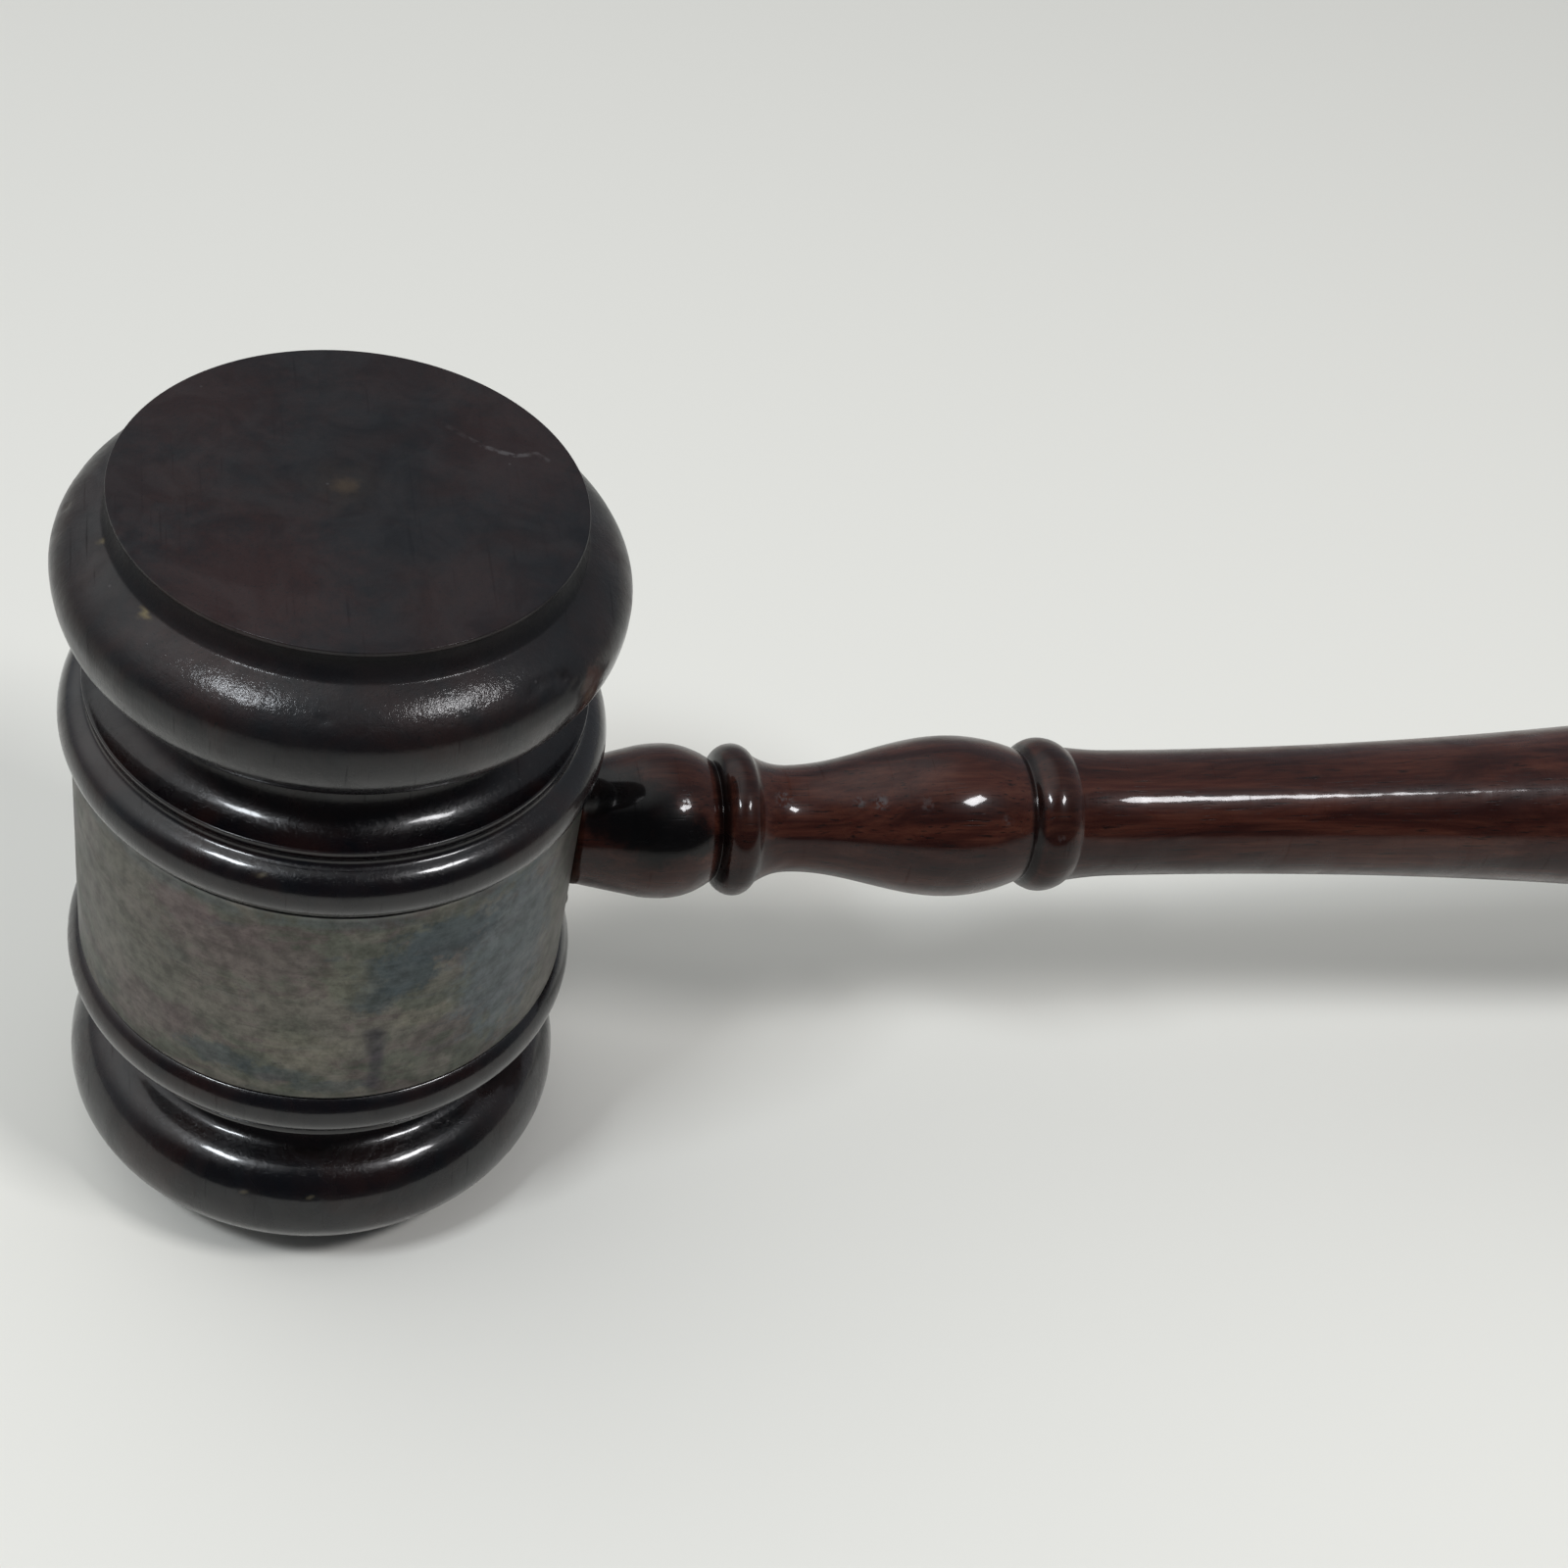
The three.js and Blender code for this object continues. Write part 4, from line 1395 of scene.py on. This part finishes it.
WAIST = {"fall": 7.0, "radius": 8.0}
GRIP = {"length": 77, "end_radius": 11.6}
BUTT = {"rise": 30}
CONE_STEP = 0.8 * MM
GRIP_STEP = 1.2 * MM
BUTT_POINTS = 40


def further(point, run, radius):
    """The next corner of the outline, so far along the handle and so far from its axis."""
    return (point[0] + run * MM, radius * MM)


def handle_outline():
    seat = (BAND_RADIUS, SEAT_RADIUS)
    cone_start = further(seat, CONE["start"], CONE["start_radius"])
    cone_end = further(seat, CONE["end"], CONE["end_radius"])
    ball_crest = further(cone_end, BALL["rise"], BALL["radius"])
    quirk_one = further(ball_crest, BALL["fall"], FIRST_QUIRK["radius"])
    collar_one = further(quirk_one, FIRST_COLLAR["rise"], FIRST_COLLAR["radius"])
    fillet_one = further(collar_one, FIRST_COLLAR["fall"], FIRST_COLLAR["fillet_radius"])
    neck = further(fillet_one, NECK["fall"], NECK["radius"])
    belly = further(neck, BELLY["rise"], BELLY["radius"])
    quirk_two = further(belly, BELLY["fall"], SECOND_QUIRK["radius"])
    collar_two = further(quirk_two, SECOND_COLLAR["rise"], SECOND_COLLAR["radius"])
    fillet_two = further(collar_two, SECOND_COLLAR["fall"], SECOND_COLLAR["fillet_radius"])
    waist = further(fillet_two, WAIST["fall"], WAIST["radius"])
    grip_end = further(waist, GRIP["length"], GRIP["end_radius"])
    butt_crest = (grip_end[0] + BUTT["rise"] * MM, BUTT_RADIUS)
    return join(
        straight(cone_start, cone_end, CONE_STEP),
        crest_arc(ball_crest, cone_end)[::-1],
        crest_arc(ball_crest, quirk_one),
        crest_arc(collar_one, quirk_one)[::-1],
        crest_arc(collar_one, fillet_one),
        crest_arc(neck, fillet_one)[::-1],
        ease_curve(neck, belly),
        crest_arc(belly, quirk_two),
        crest_arc(collar_two, quirk_two)[::-1],
        crest_arc(collar_two, fillet_two),
        crest_arc(waist, fillet_two)[::-1],
        crest_arc(waist, grip_end, GRIP_STEP),
        crest_arc(butt_crest, grip_end, GRIP_STEP)[::-1],
        butt_outline(butt_crest),
    )


def butt_outline(crest):
    """The rounded end: a quarter of an ellipse that closes on the axis."""
    angles = np.linspace(0, QUARTER_TURN, BUTT_POINTS)
    reach = HANDLE_END - crest[0]
    return [(crest[0] + reach * math.sin(a), abs(crest[1] * math.cos(a))) for a in angles]


def seat_outline():
    """The tenon and the shoulder, whose points wait inside the band's surface to be coped."""
    tenon = [(TENON_TIP, 0), (TENON_TIP, TENON_RADIUS)]
    return tenon + [(UNCOPED_PLACE, TENON_RADIUS), (UNCOPED_PLACE, SEAT_RADIUS)]


def cope_seat(mesh):
    """Moves the shoulder's points along the handle onto the band's cylinder."""
    for vertex in mesh.vertices:
        if abs(vertex.co.x - UNCOPED_PLACE) < SAME_PLACE:
            vertex.co.x = math.sqrt((BAND_RADIUS + SEAT_GAP) ** 2 - vertex.co.y**2)


def lay_along_x(mesh):
    lay = Matrix.Rotation(QUARTER_TURN, 4, "Y")
    mesh.transform(Matrix.Translation((0, 0, HANDLE_HEIGHT)) @ lay)


HANDLE_MARKS = [
    # place along the handle, angle round it from straight up, size, depth in mm, wear
    (87.7, 62.0, 0.5, 0.06, 0.3),
    (53.2, 24.0, 1.5, 0.04, 0.55),
    (62.4, 29.0, 0.9, 0.04, 0.55),
    (64.8, 31.0, 1.2, 0.04, 0.65),
    (70.2, 34.0, 1.2, 0.04, 0.30),
    (80.5, 48.0, 1.0, 0.06, 0.3),
    (40.5, 30.0, 0.8, 0.05, 0.1),
    (196.0, 15.0, 2.5, 0.10, 0.3),
    (214.0, -40.0, 2.2, 0.12, 0.3),
]
HANDLE_RANDOM_DENTS = 110
HANDLE_DENT_PLACES, HANDLE_DENT_SIZES, HANDLE_DENT_DEPTHS = (30, 215), (0.8, 2.4), (0.01, 0.035)


def handle_marks(outline):
    chance = np.random.default_rng(DENT_SEED + 1)
    rows = list(HANDLE_MARKS)
    for _ in range(HANDLE_RANDOM_DENTS):
        along, around = chance.uniform(*HANDLE_DENT_PLACES), chance.uniform(0, 360)
        size, depth = chance.uniform(*HANDLE_DENT_SIZES), chance.uniform(*HANDLE_DENT_DEPTHS)
        rows.append((along, around, size, depth, 0.0))
    marks = []
    for along, around, size, depth, wear in rows:
        radius = surface_radius(outline, along * MM)
        angle = math.radians(around)
        place = Vector((along * MM, -radius * math.sin(angle), radius * math.cos(angle)))
        place.z += HANDLE_HEIGHT
        marks.append((place, size * MM, depth * MM, wear))
    return marks


outer_outline = handle_outline()
whole_outline = seat_outline() + ease_corners(outer_outline, CORNER)
handle_mesh = turn("handle_turned", whole_outline, HANDLE_SIDES, handle_finish)
lay_along_x(handle_mesh)
cope_seat(handle_mesh)
press_marks(handle_mesh, handle_marks(outer_outline))
handle = object_from("handle_turning", handle_mesh)
print("handle:", len(whole_outline), "outline points,", len(handle_mesh.polygons), "faces")


# %% [markdown]
# The four pins repeat, so Geometry Nodes place them. In a grid of two by two points, one way
# is read as the angle round the head's axis and the other as the height. The points move onto
# the axis, each gets one pin, turned to point outwards at its angle, and the copies are made
# real. The pin itself is another small turning with a domed head. Its outline is written in
# distances from the head's axis, so it lands in the band.

# %% The pins
PIN_SIDES = 32
PIN_DOME_POINTS = 12
PIN_HEAD_RADIUS = 0.95 * MM
PIN_HEAD_HEIGHT = 0.5 * MM
PIN_HEAD_GAP = 0.05 * MM
PIN_POINT_LENGTH = 0.4 * MM


def make_pins_tree():
    sizes = [("Middle", NUMBER, 0.0), ("Angle", NUMBER, 0.1), ("Rise", NUMBER, 0.01)]
    tree, given, result = start_geometry_tree("pins_on_the_band", "Pin", sizes)
    wide = maths(tree, "MULTIPLY", given["Angle"], 2.0)
    tall = maths(tree, "MULTIPLY", given["Rise"], 2.0)
    grid = {"Size X": wide, "Size Y": tall, "Vertices X": 2, "Vertices Y": 2}
    corners = add_node(tree, "GeometryNodeMeshGrid", grid).outputs["Mesh"]
    angle, rise, _ = split(tree, add_node(tree, "GeometryNodeInputPosition").outputs[0])
    height = maths(tree, "ADD", rise, given["Middle"])
    stored = add_node(tree, "GeometryNodeCaptureAttribute", {"Geometry": corners})
    stored.capture_items.new("VECTOR", "Turn")
    tree.links.new(combine(tree, 0, QUARTER_TURN, angle), stored.inputs["Turn"])
    moves = {"Geometry": stored.outputs["Geometry"], "Position": combine(tree, 0, 0, height)}
    moved = add_node(tree, "GeometryNodeSetPosition", moves).outputs["Geometry"]
    feeds = {"Points": moved, "Instance": given["Pin"], "Rotation": stored.outputs["Turn"]}
    copies = add_node(tree, "GeometryNodeInstanceOnPoints", feeds)
    end_geometry_tree(tree, copies.outputs[0], given, result)
    return tree


def pin_outline():
    """Distances from the head's axis: the shank's tip first, the top of the dome last."""
    under_head = BAND_RADIUS + PIN_HEAD_GAP
    angles = np.linspace(0, QUARTER_TURN, PIN_DOME_POINTS)
    heights = under_head + PIN_HEAD_HEIGHT * np.sin(angles)
    dome = list(zip(heights, abs(PIN_HEAD_RADIUS * np.cos(angles))))
    tip = BAND_RADIUS - PIN_LENGTH
    point = [(tip, 0), (tip + PIN_POINT_LENGTH, PIN_SHANK_RADIUS)]
    shank_end = [(under_head, PIN_SHANK_RADIUS), (under_head, PIN_HEAD_RADIUS)]
    return join(point, shank_end, dome[1:])


pin_mesh = turn("pin", pin_outline(), PIN_SIDES, silver_finish)
pins_values = {"Middle": MIDDLE, "Angle": PIN_ANGLE, "Rise": PIN_RISE, "Material": silver_finish}
pins_mesh = tidy_mesh(run_tree("band_pins", pin_mesh, make_pins_tree(), pins_values))
pins = object_from("band_pins", pins_mesh)
print("pins:", len(pins_mesh.polygons), "faces")

# %% [markdown]
# Each new piece takes the place of its plain solid, which is hidden, and rides on the one body.

# %% Join the pieces to the frame
PIN_NODES = [name for name in sorted(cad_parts) if name.startswith("band_pin_")]
for piece, nodes, slot in (
    (head, ["head"], "head_wood"),
    (band, ["presentation_band"], "band_silver"),
    (handle, ["handle"], "handle_wood"),
    (pins, PIN_NODES, "band_silver"),
):
    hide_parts(*nodes)
    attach(piece, "root")
